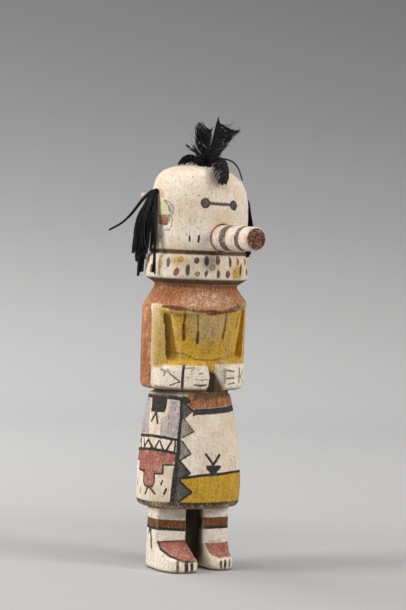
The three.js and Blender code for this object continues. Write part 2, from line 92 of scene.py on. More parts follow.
def rows(piece, what):
    """The place or the normal of each vertex, as rows of three numbers."""
    flat = np.empty(len(piece.data.vertices) * 3, np.float32)
    piece.data.vertices.foreach_get(what, flat)
    return flat.reshape(-1, 3).astype(float)


def corners(piece):
    """The vertices of a piece as rows of x, y, z in millimetres."""
    return rows(piece, "co") / MM


def put_back(piece, places):
    """Moves the vertices of a piece to the given places, in millimetres."""
    piece.data.vertices.foreach_set("co", (places * MM).astype(np.float32).ravel())


def lay_down(piece, name, values):
    """Keeps one number for each vertex, for the paint to follow."""
    layer = piece.data.attributes.new(name, "FLOAT", "POINT")
    layer.data.foreach_set("value", np.asarray(values, np.float32))


# The soles stand flat on the floor.
SOLE = 0.6
at = corners(figure)
at[:, 2] = np.where(at[:, 2] < SOLE, np.maximum(at[:, 2] * 0.2, 0), at[:, 2])
put_back(figure, at)
figure.data.update()


def roundness(piece, passes):
    """How far each vertex stands proud of the wood about it; more passes look further round."""
    ends = np.empty(len(piece.data.edges) * 2, np.int32)
    piece.data.edges.foreach_get("vertices", ends)
    one, two = ends[0::2], ends[1::2]
    where = corners(piece)
    count = np.bincount(ends, minlength=len(where))[:, None]
    soft = where.copy()
    for _ in range(passes):
        total = np.zeros_like(soft)
        for axis in range(3):
            for here, there in ((one, two), (two, one)):
                total[:, axis] += np.bincount(here, soft[there, axis], len(where))
        soft = total / np.maximum(count, 1)
    return ((where - soft) * rows(piece, "normal")).sum(1)


# Paint wears off where the wood stands proud. Where it is hollow it is darkened, partly as dirt and
# partly as painted shade.
standing_proud = roundness(figure, 14)
lying_hollow = -roundness(figure, 70)

# The paint is laid out in millimetres round the figure from the middle of its front, its own left
# counted positive, and in millimetres up from the floor. Each part has its own round: its middle,
# its depth as a share of its width, and half its width.
x, y, z = at.T
KILT = (-0.6, 0.80, 33.0)
BODY = (-1.0, 0.80, 33.0)
RUFF = (-0.5, 0.785, 33.0)
HEAD = (-0.5, 0.79, 31.5)
KILT_HEM, KILT_TOP, NECK, CHIN = 38.2, 109.9, 176.2, 195.4  # heights where parts meet
FAR_OFF = 9.0  # distances from a colour's edge are kept up to this


def round_it(section):
    """How far round a part each vertex lies."""
    middle, flatness, radius = section
    return radius * np.arctan2(x - middle, -y / flatness)


def as_points(place, numbers):
    """The points of a line or an outline, which are written as plain numbers one after another."""
    return np.reshape(np.array(numbers, float), (-1, place.shape[1]))


def line_gap(place, line):
    """How far each point is from a line."""
    gap = np.full(len(place), 1e6)
    line = as_points(place, line)
    for a, b in zip(line[:-1], line[1:]):
        along = b - a
        share = np.clip(((place - a) @ along) / max(along @ along, 1e-9), 0, 1)
        gap = np.minimum(gap, np.linalg.norm(place - a - share[:, None] * along, axis=1))
    return gap


def area_gap(place, outline):
    """How far each point is outside an outline; negative inside it."""
    inside = np.zeros(len(place), bool)
    closed = [*outline, *outline[:2]]
    for (ax, ay), (bx, by) in zip(as_points(place, outline), as_points(place, closed[2:])):
        crosses = (ay > place[:, 1]) != (by > place[:, 1])
        beyond = (bx - ax) * (place[:, 1] - ay) / ((by - ay) or 1e-9) + ax
        inside ^= crosses & (place[:, 0] < beyond)
    gap = line_gap(place, closed)
    return np.where(inside, -gap, gap)


def oval_gap(place, middle, wide, tall, lean=0):
    """How far each point is outside an oval that leans by some degrees."""
    turn = math.radians(lean)
    across, up = (place - np.array(middle, float)).T
    a = (across * math.cos(turn) - up * math.sin(turn)) / (wide / 2)
    b = (across * math.sin(turn) + up * math.cos(turn)) / (tall / 2)
    return (np.hypot(a, b) - 1) * min(wide, tall) / 2


def between(low, value, high):
    """How far a value is outside two limits; negative between them."""
    return np.maximum(low - value, value - high)


def shared(*gaps):
    """How far each point is outside what several areas share."""
    return np.max(gaps, axis=0)


class Layout:
    """The paint of one part of the figure, as how far each vertex is from each colour's edge."""

    def __init__(self, low, high, section):
        self.here = (z >= low) & (z < high)
        self.place = np.stack([round_it(section)[self.here], z[self.here]], 1)
        self.solid = at[self.here]

    def paint(self, colour, gap):
        edge = edges.setdefault(colour, np.full(len(z), FAR_OFF))
        edge[self.here] = np.minimum(edge[self.here], np.clip(gap, -FAR_OFF, FAR_OFF))

    def area(self, colour, outline, place=None):
        self.paint(colour, area_gap(self.place if place is None else place, outline))

    def strokes(self, colour, brushes, place=None, full=1.0):
        """Draws lines by the width of their brush; full makes every brush that much wider."""
        place = self.place if place is None else place
        for width, lines in brushes.items():
            for line in lines:
                self.paint(colour, line_gap(place, line) - full * width / 2)


edges = {}

# Head: eyes and their bar, two short strokes, and a blossom on each cheek under the hair.
head = Layout(CHIN, math.inf, HEAD)
for eye in ((-10.2, 226.0), (10.1, 225.3)):
    head.paint("charcoal", oval_gap(head.place, eye, 5.9, 5.9))
    head.paint("black", np.abs(oval_gap(head.place, eye, 5.3, 5.3)) - 0.5)
head.strokes("charcoal", {1.9: [(-7.6, 226, -0.4, 225.8, 7.6, 225.6)]})
head.strokes("black", {1.1: [(-19.4, 205.6, -19.3, 202.6)], 1.4: [(-13.4, 205.9, -13.7, 202.3)]})
for side in (1, -1):
    cheek = head.place * np.array([side, 1])
    head.strokes("charcoal", {
        0.9: [(-39.8, 227, -35.7, 224, -33.6, 219.7, -33.7, 214.8, -35.8, 212.3, -39.3, 211.3),
            (-44.6, 217.2, -34.3, 217.7)],
    }, cheek)
    head.strokes("pencil", {
        0.75: [(-38.7, 226.8, -33.3, 225.1, -30.8, 222.8, -31, 219.7, -32.7, 217.9, -31.7, 214.9,
            -32, 211.2, -33.9, 208.7, -38.2, 208.6), (-38.1, 206.4, -40.5, 204.2, -43.2, 204.8)],
    }, cheek)
    head.area("pale_yellow", [
        -43.8, 225.5, -41.4, 226.7, -38.2, 226.5, -35.7, 223.8, -34.5, 219.6, -34.3, 217.5,
        -43.9, 216.9], cheek)
    head.area("clay_pink", [
        -43.9, 216.7, -34.3, 217.2, -34.6, 214.2, -36.2, 212, -39.3, 211.5, -44.2, 212], cheek)
    head.area("pink_wash", [
        -46.9, 233.4, -43.8, 234.1, -40.4, 231.7, -39.4, 229.9, -40.1, 228.1, -43.9, 228.2], cheek)
    head.area("lilac", [
        -35, 224.2, -33.2, 225, -31, 222.8, -31.1, 219.7, -32.9, 218, -33.8, 219.6], cheek)
head.paint("rust", oval_gap(head.place, (-23.4, 230.6), 2.2, 1.8) + 0.5)
head.paint("brown", head.place[:, 1] - 197.2)
# A soft shadow of the drooping feather is painted on the brow.
smudge = np.zeros(len(z))
from_feather_shadow = np.linalg.norm((head.place - (-6.0, 240.5)) / (6.5, 10.5), axis=1)
smudge[head.here] = 1 - np.clip(from_feather_shadow, 0, 1)

# Ruff: grains of painted corn in two loose rows all round, over a dark hollow at the neck whose
# brown is partly painted shade.
ruff = Layout(NECK, CHIN, RUFF)
GRAIN_COLOURS = {
    "red_brown": (96, 42, 22), "orange": (134, 66, 28), "yellow": (192, 152, 62),
    "pale": (204, 178, 112), "black": (34, 31, 32), "blue": (42, 40, 54),
    "lilac": (88, 85, 102), "green": (36, 42, 34), "olive": (150, 134, 80),
}
GRAINS = [
    ("green", -62.7, 187, 3.4, 6), ("pale", -40.6, 188, 3.6, 4.8),
    ("lilac", -33.8, 189.3, 2.7, 5.6), ("yellow", -25.1, 191.4, 3.6, 3.1),
    ("orange", -27.5, 183.7, 3.3, 5, 25), ("green", -20.2, 185.1, 2.6, 6.4),
    ("red_brown", -14.7, 191, 3.1, 3.6), ("blue", -8.4, 190.9, 2.8, 5.8),
    ("red_brown", -0.7, 191.4, 2.9, 5.2), ("black", 8.7, 190.7, 2, 6),
    ("orange", 15.6, 191, 2, 4.1), ("black", 18.1, 186, 1.9, 6.7, 12),
    ("olive", -4.4, 187.1, 3.4, 3.6), ("olive", -13.9, 182.9, 3.1, 3),
    ("blue", -8.4, 183.4, 2, 3.5, 15), ("blue", -0.3, 183.1, 2.2, 4.6),
    ("red_brown", 6.8, 183.1, 3.4, 4.6), ("yellow", 12.6, 183.2, 3.1, 4.6),
    ("orange", -50.5, 185, 3, 5), ("yellow", -56, 190, 3.2, 3.8),
]
# The hidden part of the ruff has its grains at random, in a high and a low row by turns.
ONCE_ROUND = 207.3
rng = random.Random(7)
around, row, other_row = 24.5, 190.4, 184.0
while around < 140:
    hue = rng.choice(sorted(GRAIN_COLOURS))
    across = around if around < ONCE_ROUND / 2 else around - ONCE_ROUND
    GRAINS.append((hue, across, row + rng.uniform(-0.8, 0.8),
                   rng.uniform(2.4, 3.6), rng.uniform(4.2, 6.4), rng.uniform(-15, 15)))
    around += rng.uniform(3.2, 4.6)
    row, other_row = other_row, row
grain_colour = np.full((len(z), 4), 1.0)
grain_gap = np.full(len(z), FAR_OFF)
for hue, across, tall_at, wide, tall, *lean in GRAINS:
    gap = np.full(len(z), FAR_OFF)
    gap[ruff.here] = oval_gap(ruff.place, (across, tall_at), wide, tall, *lean)
    nearer = gap < grain_gap
    grain_gap[nearer] = gap[nearer] - 0.15
    grain_colour[nearer, :3] = [(c / 255) ** 2.2 for c in GRAIN_COLOURS[hue]]
edges["grain"] = np.clip(grain_gap, -FAR_OFF, FAR_OFF)
# Brown in the groove under the head and on the underside over the neck, where it is partly painted
# shade.
ruff.paint("brown", -between(179.7, ruff.place[:, 1], 194.5))
ruff.paint("straw", oval_gap(ruff.place, (15.5, 184.5), 9, 8) * 0.7 - 0.5)
ruff.paint("straw", oval_gap(ruff.place, (-27, 191), 8, 5) * 0.7)
ruff.paint("grey_wash", oval_gap(ruff.place, (-5.5, 189.5), 9.5, 10))

# Shoulders, arms and back are red ochre; the chest and the inner arms are yellow, the hands white.
body = Layout(KILT_TOP, NECK, BODY)
s, up = body.place.T
SHOULDER_LINE = (
    [-60, -47, -41, -35.7, -20.7, -7.7, 4, 16.3, 26, 38, 60],
    [163.5, 163.6, 163.2, 162.4, 161.2, 160, 159.6, 161.6, 163, 163.4, 163.4],
)
ARM_LINE = (
    [111, 113.8, 126, 138.3, 150.5, 159, 163.9],
    [-43.9, -43.9, -43.6, -43.2, -43, -45.5, -49],
)
shoulder = np.interp(s, *SHOULDER_LINE)
arm = np.interp(up, *ARM_LINE)
body.paint("red_ochre", np.minimum(shoulder - up, np.minimum(s - arm, 44.5 - s)))
hand_top = np.where(s < 0, 126.9, 128.0)
body.paint("yellow", shared(
    between(-37.6 + (150 - up) * 0.04, s, 38.5), between(hand_top, up, shoulder)))
body.paint("worn_red", oval_gap(body.place, (-2, 167), 38, 10.5))
body.paint("chalk", shared(
    up - hand_top + 0.6, 112.4 - up, between(-43.4, s, 43.4), body.solid[:, 1] - 4))
body.strokes("umber", {
    2: [(-36, 162.4, -30, 161.8), (-20.7, 161, -10, 159.8), (-20.6, 159.3, -21.9, 151.5)],
    3.6: [(-30, 161.7, -20.7, 160.9), (12, 161, 19.5, 162.3)], 2.2: [(-10.4, 160.3, -4, 159.9)],
    3.8: [(-5.4, 159.8, 0.2, 159.5)], 2.6: [(0.2, 159.4, 12, 160.8)],
    1.8: [(19.5, 162.3, 28, 163.2)], 2.8: [(-21.9, 151.5, -21.5, 142.9)],
    1.2: [(-12, 157.2, -11.4, 147.4), (25.1, 158, 23.1, 150)], 2.7: [(-11.4, 146.9, -11.4, 141)],
    1.6: [(9.1, 158.9, 9.7, 150.8)], 2.1: [(9.7, 150.8, 9.5, 143.6)],
    0.8: [(-29, 134.5, -20.2, 133.8, -12.5, 130.5, 1.8, 130, 7.9, 130.8)],
    0.5: [(7.3, 132.1, 10.2, 131.4, 12, 132.1)], 0.9: [(-18.1, 153.3, -18, 153.3)],
}, full=0.85)
body.strokes("black", {
    1.7: [(-19.9, 126.8, -20, 125.2)], 1.6: [(-20.2, 123.4, -20.5, 112.6)],
    0.8: [(-29.8, 122.6, -22.2, 117.2), (12.7, 115.7, 18.8, 116.3)],
    0.7: [(-22.2, 116.9, -28.6, 114.5), (-12.3, 118.8, -8.2, 118.3, -3.6, 118.6),
        (25.4, 120.4, 30.9, 123.9), (25.5, 120.2, 31.3, 115.5)],
    0.6: [(-10.5, 121.9, -7.1, 122.4), (-14.9, 123.9, -13.1, 124.7)],
    1: [(-12.5, 115.3, -8.7, 114.9, -4.1, 115.2)],
    0.9: [(11.1, 124.3, 17.5, 123.4), (11.1, 119.2, 17.9, 119.4), (23.2, 125.3, 24.1, 116)],
}, full=1.2)
# Brown strokes on the hands; the long low one along the lower edge of the forearms is partly
# painted shade.
body.strokes("brown", {
    0.8: [(-18.8, 125.4, -12.6, 125.7), (-32, 122.6, -29.8, 124.2, -28.9, 123.2),
        (-40.5, 113.6, -20, 111.9, 0, 111.6)],
    0.9: [(-35.2, 123.9, -33.1, 123.7, -31.9, 121.9, -32.6, 120.3)],
    0.6: [(10.4, 124.5, 10.5, 116.2)],
})
body.paint("straw", line_gap(body.place, [33, 158, 30.5, 132]) - 2)
# The deep gap between the fists is painted dark with painted shade over it, the lower end of the
# left fist gets painted shade, and yellow runs down into the top of the gap.
bx, by, bz = body.solid.T
body.paint("soot", shared(between(-2.2, bx, 3.9), bz - 123.5 + 0.5 * bx, between(-24, by, -8)))
# Painted shade low on the rounded end of the left fist and down in the gap.
body.paint("dirt", shared(-0.5 - bx, bx - 9.5 + (bz - 111) * 0.5, bz - 123, by + 8))
body.paint("dirt", shared(between(0.5, bx, 3.6), bz - 124.5, between(-24.5, by, -8)) + 0.8)
body.paint("yellow", shared(between(-2, bx, 3.4), between(123, bz, 128.5), between(-21.5, by, -8)))
# The opening between each arm and the chest is painted a brighter yellow than the chest, as painted
# light that lifts the shade in it.
inner, outer = (np.interp(bz, [129, 161], ends) for ends in ([18.6, 25.0], [26.8, 29.6]))
body.paint("sunny", shared(
    between(inner, np.abs(bx), outer), between(-15.5, by, -2), between(127.5, bz, 161.5)))
# Painted shade under the forearms: a dark line along their lower edge and brown in the groove
# beneath them.
body.paint("dirt", line_gap(body.place, [-60, 111.6, 40, 111.6]) - 0.9)
body.paint("brown", bz - 111.2)
body.paint("beige", shared(
    oval_gap(body.place, (-3, 154), 30, 26), up - shoulder + 0.5, hand_top - up) * 0.5)
body.paint("beige", line_gap(body.place, [21.5, 160, 19.5, 146, 15, 131]) - 1.2)
body.paint("cream", shared(between(-44.5, s, -35.6), between(126, up, shoulder), by - 4) - 0.6)
body.paint("straw", shared(
    between(-41.6, s, -35.6), 126 - up, up - shoulder + 1, (up - 150) * 0.2) - 1)

# Kilt: a white cloth with a yellow hem and a dark waistband; a worked panel hangs at the right.
kilt = Layout(KILT_HEM, KILT_TOP, KILT)
s, up = kilt.place.T
PANEL = (-68.5, -21.6)
off_panel = between(PANEL[0], s, PANEL[1])
WAIST = (
    [-104, -68, -13.2, -10.7, -1.9, 7.3, 33.4, 104],
    [100.6, 100.6, 99, 100.4, 100.7, 101.1, 102.1, 100.6],
)
waist = np.interp(s, *WAIST)
beside_panel = (s > PANEL[1]) & (s < 0)
kilt.paint("red_ochre", shared(
    waist - up, -off_panel, np.where(beside_panel, (-17.5 - s) * 0.8, -FAR_OFF)))
kilt.paint("indigo", shared(
    between(waist - 3.8, up, waist), -off_panel, np.where(beside_panel, -12.9 - s, -FAR_OFF)))
kilt.area("black", [-21.6, 108.2, -17, 107.4, -14.2, 104, -19, 102.5, -21.6, 103])
YELLOW_TOP = (
    [-104, -68.5, -20.1, -16.9, -5.5, 5.1, 18.3, 34.7, 104],
    [59, 59, 57.6, 58.6, 60, 60.4, 61.1, 60.6, 59],
)
kilt.paint("yellow", shared(up - np.interp(s, *YELLOW_TOP), -off_panel))
kilt.area("lilac", [
    -30.7, 105.2, -23, 104.6, -22.1, 94.7, -22, 82.6, -36.2, 83, -37, 93.9, -32.1, 96])
kilt.area("lilac", [-68.4, 104.9, -54.5, 105.2, -51, 95, -47.6, 82.6, -68.2, 81.8])
kilt.area("rose", [
    -63.5, 72.6, -41.8, 73.9, -30.6, 73.6, -22.9, 72.3, -22.2, 69.8, -24.8, 66.6, -31.3, 66,
    -31.2, 60.7, -37.8, 60.1, -37.9, 55.4, -38.8, 52.6, -42.7, 51.8, -46.6, 52.2, -48.5, 54.4,
    -48.8, 60.7, -56.2, 61.1, -57.4, 66.9, -63.8, 67.7])
for tooth, shade in (
    ([-22, 105.6, -20.4, 105, -12.7, 98.8, -18.7, 93.9, -21.2, 93.8], "charcoal"),
    ([-21.2, 93.8, -18.7, 93.9, -11.3, 86.5, -19.6, 82.7, -21, 82.6], "stone"),
    ([-21.3, 82, -19.5, 81.5, -13.1, 72.5, -20.1, 69, -21.4, 69], "stone"),
    ([-22, 69.3, -19.7, 69.1, -13, 61, -20.1, 57.5, -22.6, 57.4], "charcoal"),
    ([-22.6, 57.4, -20.1, 57.2, -11.7, 49.7, -21.1, 42.7, -23.7, 42.6], "charcoal"),
):
    kilt.area(shade, tooth)
kilt.strokes("black", {
    1.7: [(-21.9, 105.6, -21.3, 94.7, -21.5, 89.3, -21.6, 82)],
    2.1: [(-21.6, 82, -21.5, 73.5, -22, 69.3, -22.3, 63.2)],
    2.6: [(-22.4, 63.2, -23.1, 54, -24, 41.5)],
    1.9: [(-69.5, 105.6, -63.5, 106.2, -39.3, 107.2, -27.3, 106.7, -20.6, 105.8)],
    1.5: [(-43.4, 96.2, -46.7, 91.4), (-42.2, 96.3, -39.6, 90.7)],
    1.4: [(-68.5, 81, -64.6, 81.3, -43.7, 82.7, -32.5, 82.4, -22.9, 81.4), (-60.4, 79.6, -57.6, 75),
        (-47.5, 80, -51.9, 75.4), (-47.3, 80, -40.4, 74.8),
        (-68.5, 72.6, -66.1, 72.9, -42, 74.6, -30.7, 74.3, -22.9, 73), (7.1, 72.3, 2.4, 66.6)],
    1.2: [(-64.6, 75, -61, 79.6), (-54.5, 80.2, -51.9, 75.4)],
    1.1: [(-36.3, 80, -39.5, 74.8), (-26.6, 79.9, -30, 74.7), (-43.2, 51.5, -46.5, 46.6),
        (-41.6, 51.4, -36.5, 47.5), (-20, 56.9, -11.8, 49.7, -20.7, 43)],
    1: [(-35.2, 80, -32.4, 75.2), (-31.4, 65.4, -31.2, 60.4), (-56.8, 61, -48.7, 60.5),
        (-49, 60.8, -49, 54.3, -46.6, 51.9, -42.7, 51.4, -38.6, 52.1, -37.6, 55.4, -37.7, 59.7),
        (-31, 56, -32, 53.7), (-53.6, 49.6, -54, 46.6), (-20.8, 105, -12.9, 98.8),
        (-20, 68.7, -13.3, 61.3, -19.4, 57.8)],
    0.9: [(-24, 80.4, -24.1, 74.4), (-31.4, 65.6, -23.5, 66.2), (-31.2, 60.3, -37.7, 59.8),
        (-59.5, 55, -59.9, 51)],
    0.8: [(-56.9, 61, -57.4, 66.4, -64.5, 67.2), (-13.5, 73.1, -20.1, 69),
        (-19.5, 80.9, -13.2, 73.2)],
    1.3: [(-28.2, 51, -29.6, 48.1), (-3.2, 73, 2.2, 66.6),
        (-17, 58.5, -5.5, 60.1, 5.1, 60.5, 18.3, 61.2, 34.7, 60.7, 104, 59.2),
        (-104, 59.2, -68.5, 59.2)],
    0.7: [(-18.7, 93.9, -11.6, 86.7, -19.6, 82.9)], 2.2: [(-68.7, 105.5, -68.7, 41)],
}, full=1.3)
CLOUD = [-51.9, 106.3, -33.7, 106.6, -33.3, 103.2, -33.4, 100.5, -34.5, 97.4, -49.9, 97, -50.1, 101]
kilt.area("black", CLOUD)
kilt.area("black", [
    -3.4, 66.2, 8.4, 65.8, 7.4, 63.7, 5.1, 62, 4.8, 59.8, 0.3, 60, 0.3, 61.5, -2.2, 63.4])
HEM_TOP = ([-104, -40, -24, 10, 30, 104], [42.6, 42.8, 43.4, 43.4, 42.4, 42.6])
kilt.paint("hem", up - np.interp(s, *HEM_TOP))
bare_patch = area_gap(kilt.place, [-12.6, 109.9, -3, 109.9, -4.5, 106, -11, 106.4])
kilt.paint("bare", np.maximum(bare_patch, waist - up) + 0.3)
# The top of the waist under the hands is darker: dirt and painted shade from the forearms above.
kilt.paint("dirt", shared(waist + 4.6 - up, between(-14, s, 34)) + 1)
kilt.paint("white", np.abs(area_gap(kilt.place, CLOUD) - 0.6) - 0.6)

# Legs: white, with wound garters, a tie at each outer side, rose insteps and toes drawn in black.
legs = Layout(-math.inf, KILT_HEM, BODY)
lx, ly, lz = legs.solid.T
right, slope = lx < 0, 0.08 * (lx + 25)
legs.paint("rust", np.where(right, np.abs(lz - 29.1 + slope) - 2.4, np.abs(lz - 28.7) - 2.8))
legs.paint("black", np.where(right, np.abs(lz - 25.8 + slope) - 1.05, np.abs(lz - 25.2) - 1))
legs.strokes("black", {
    1: [(-27.6, -2.7, 26, -27.6, -1.3, 22.1, -26.2, 3.7, 16.5), (25.4, -1.7, 25, 25.4, 2.3, 17),
        (25.4, -2.3, 25, 25.4, -4.8, 14)],
    1.2: [(-27.6, -3.3, 25.5, -27.6, -4.8, 19.1, -27.1, -5.1, 13.2),
        (-25.7, -9.9, 17.7, -25.3, -13.1, 13.6, -22.1, -19.3, 9.8, -17, -24.8, 7.6, -9.4, -25.2,
        7.3, -5, -24.5, 7.2)],
    0.7: [(-25.6, -10.6, 17.6, -14, -11.2, 17.8, -5, -10.8, 17.8),
        (-4.6, -24, 7.2, -4.2, -17, 11.5, -4.8, -11, 17.4)],
    1.4: [(-19.6, -24.4, 7.3, -19.5, -24.6, 0.1), (12.4, -22.7, 5.4, 12.9, -22.4, 0.1)],
    2: [(-14.1, -25.4, 7.3, -13.6, -25.4, 0.1)], 1.6: [(-10.2, -25.4, 7.2, -9.7, -25.4, 0.5)],
    1.3: [(15.5, -22.9, 6.5, 15.4, -23, 1), (19.2, -22.4, 7.3, 18.9, -22.6, 2.4)],
    0.6: [(10.7, -11, 15.5, 23.6, -10.4, 15.4, 25.2, -10.2, 12.4, 24.6, -16.2, 9.2)],
}, legs.solid, full=1.35)
for top, instep in (
    (18.1, [
        -25.2, 0, -25.2, -11, -24.2, -15.4, -21.6, -20, -16.6, -24.6, -8.6, -25, -4.4, -23.5,
        -3.9, -16, -4.5, 0]),
    (15.6, [
        7.2, 0, 7.2, -12.5, 8.6, -18, 12, -21.6, 19.6, -20.6, 24, -15.8, 25.2, -10.2, 24.6, 0]),
):
    legs.paint("rose", shared(area_gap(legs.solid[:, :2], instep), between(5.6, lz, top)))
# The inner faces of the slot between the legs: dark paint with painted shade.
legs.paint("soot", shared(np.abs(lx) - 5.9, -11 - ly, 3 - lz))
legs.paint("chalk", shared(between(2, lz, 36), 6.5 - np.abs(lx)))
legs.paint("hem", lz - 1.1)

# The hollow darkening, dirt and painted shade together, is almost taken off the open side of each
# bent arm, and the crease darkening there too; on the legs under the kilt the hollow darkening is
# cut to a fifth.
open_arm = (at[:, 1] < 2) & (z > 127) & (z < 163)
lying_hollow *= np.where(open_arm, 0.02, 1.0)
lying_hollow *= np.where((z > 24) & (z < 40) & (np.abs(x) > 6.8), 0.2, 1.0)
standing_proud = np.where(open_arm, np.maximum(standing_proud, -0.05), standing_proud)
lay_down(figure, "hollow", lying_hollow)
lay_down(figure, "proud", standing_proud)

for colour in sorted(edges):
    lay_down(figure, colour, edges[colour])
# The painted shadow of the drooping feather on the brow.
lay_down(figure, "smudge", smudge)
hues = figure.data.attributes.new("grain_colour", "FLOAT_COLOR", "POINT")
hues.data.foreach_set("color", grain_colour.astype(np.float32).ravel())


def tint(*mix):
    """A colour mixed for the eye, as the light that a shader takes."""
    light = (((c / 255 + 0.055) / 1.055) ** 2.4 if c > 10 else c / 255 / 12.92 for c in mix)
    return (*light, 1.0)


class Wire:
    """One output of a node: sums written with it add Math nodes to its material."""

    def __init__(self, tree, socket):
        self.tree, self.socket = tree, socket

    def node(self, kind, settings=None, sockets=None, output=0):
        """Adds a node: its settings first, then the values or links of its sockets."""
        added = self.tree.nodes.new("ShaderNode" + kind)
        for name, value in (settings or {}).items():
            if name == "stops":
                ramp = added.color_ramp.elements
                ramp[0].position, ramp[0].color = value[0]
                ramp[1].position, ramp[1].color = value[-1]
                for spot, colour in value[1:-1]:
                    ramp.new(spot).color = colour
            else:
                setattr(added, name, value)
        for key, value in (sockets or {}).items():
            if isinstance(value, Wire):
                self.tree.links.new(value.socket, added.inputs[key])
            else:
                added.inputs[key].default_value = value
        return Wire(self.tree, added.outputs[output])

    def math(self, operation, first, second):
        return self.node("Math", {"operation": operation}, {0: first, 1: second})

    def __add__(self, other): return self.math("ADD", self, other)
    def __radd__(self, other): return self.math("ADD", other, self)
    def __sub__(self, other): return self.math("SUBTRACT", self, other)
    def __rsub__(self, other): return self.math("SUBTRACT", other, self)
    def __mul__(self, other): return self.math("MULTIPLY", self, other)
    def __rmul__(self, other): return self.math("MULTIPLY", other, self)

    def step(self, low, high):
        """0 below low and 1 above high, smoothly between."""
        limits = {0: self, 1: low, 2: high, 3: 0.0, 4: 1.0}
        return self.node("MapRange", {"interpolation_type": "SMOOTHSTEP"}, limits)

    def noise(self, scale, detail=3.0, rough=0.55, stretch=(1, 1, 1)):
        place = self
        if stretch != (1, 1, 1):
            place = self.node("VectorMath", {"operation": "MULTIPLY"}, {0: self, 1: stretch})
        sockets = {"Vector": place, "Scale": scale, "Detail": detail, "Roughness": rough}
        return place.node("TexNoise", None, sockets)

    def laid(self, name):
        return self.node("Attribute", {"attribute_name": name}, None, 2)

    def over(self, under, colour, cover):
        """A coat of colour over another, as far as cover goes."""
        return self.node("Mix", {"data_type": "RGBA"}, {0: cover, 6: under, 7: colour}, 2)


def material(name):
    """A new material, its shader, and its place in millimetres."""
    made = bpy.data.materials.new(name)
    made.use_nodes = True
    shader = made.node_tree.nodes["Principled BSDF"]
    start = Wire(made.node_tree, None)
    place = start.node("TexCoord", None, None, 3)
    place = place.node("VectorMath", {"operation": "SCALE"}, {0: place, "Scale": 1 / MM})
    return made, shader, place


def finish(made, shader, colour, roughness, gloss, relief=None, strength=0.0, depth=0.0):
    """Gives a shader its colour, roughness and gloss, and the fine relief of the surface."""
    links = made.node_tree.links
    links.new(colour.socket, shader.inputs["Base Color"])
    links.new(roughness.socket, shader.inputs["Roughness"])
    shader.inputs["Specular IOR Level"].default_value = gloss
    if relief:
        sockets = {"Strength": strength, "Distance": depth, "Height": relief}
        links.new(relief.node("Bump", None, sockets).socket, shader.inputs["Normal"])


paint, shader, place = material("painted_root")
wobble = (place.noise(0.55, 2.0) - 0.5) * 1.1 + (place.noise(1.7, 2.0) - 0.5) * 1.0
mottle = place.noise(0.06, 4.0, 0.6)
patches = place.noise(0.28, 5.0, 0.65)
speckle = place.noise(0.75, 2.0, 0.7)
fibre = place.noise(0.7, 3.0, 0.6, (1, 1, 0.09))
streaks = place.noise(0.3, 3.0, 0.6, (1, 1, 0.12))
pits = place.noise(1.2, 2.0, 0.6)
proud = place.laid("proud")
edge_wear = (proud + (patches - 0.5) * 0.6 + (speckle - 0.5) * 0.4).step(0.25, 0.60)
# Darker in the small creases of the carving: dirt and painted shade together.
crease_dirt_and_shade = ((0 - proud) + (patches - 0.5) * 0.35).step(0.12, 0.50)
# Darker in the wide hollows of the carving: dirt and painted shade together.
hollow = (place.laid("hollow") + (patches - 0.5) * 0.8).step(0.3, 2.4)


def cover(name, soft):
    """Where a colour lies on the piece in hand, with the brush's unsteady edge."""
    return 1 - (place.laid(name) + wobble * 0.5).step(-soft, soft)


def mixed(one, two, how_much):
    """One colour with another over it."""
    return place.over(one, two, how_much)


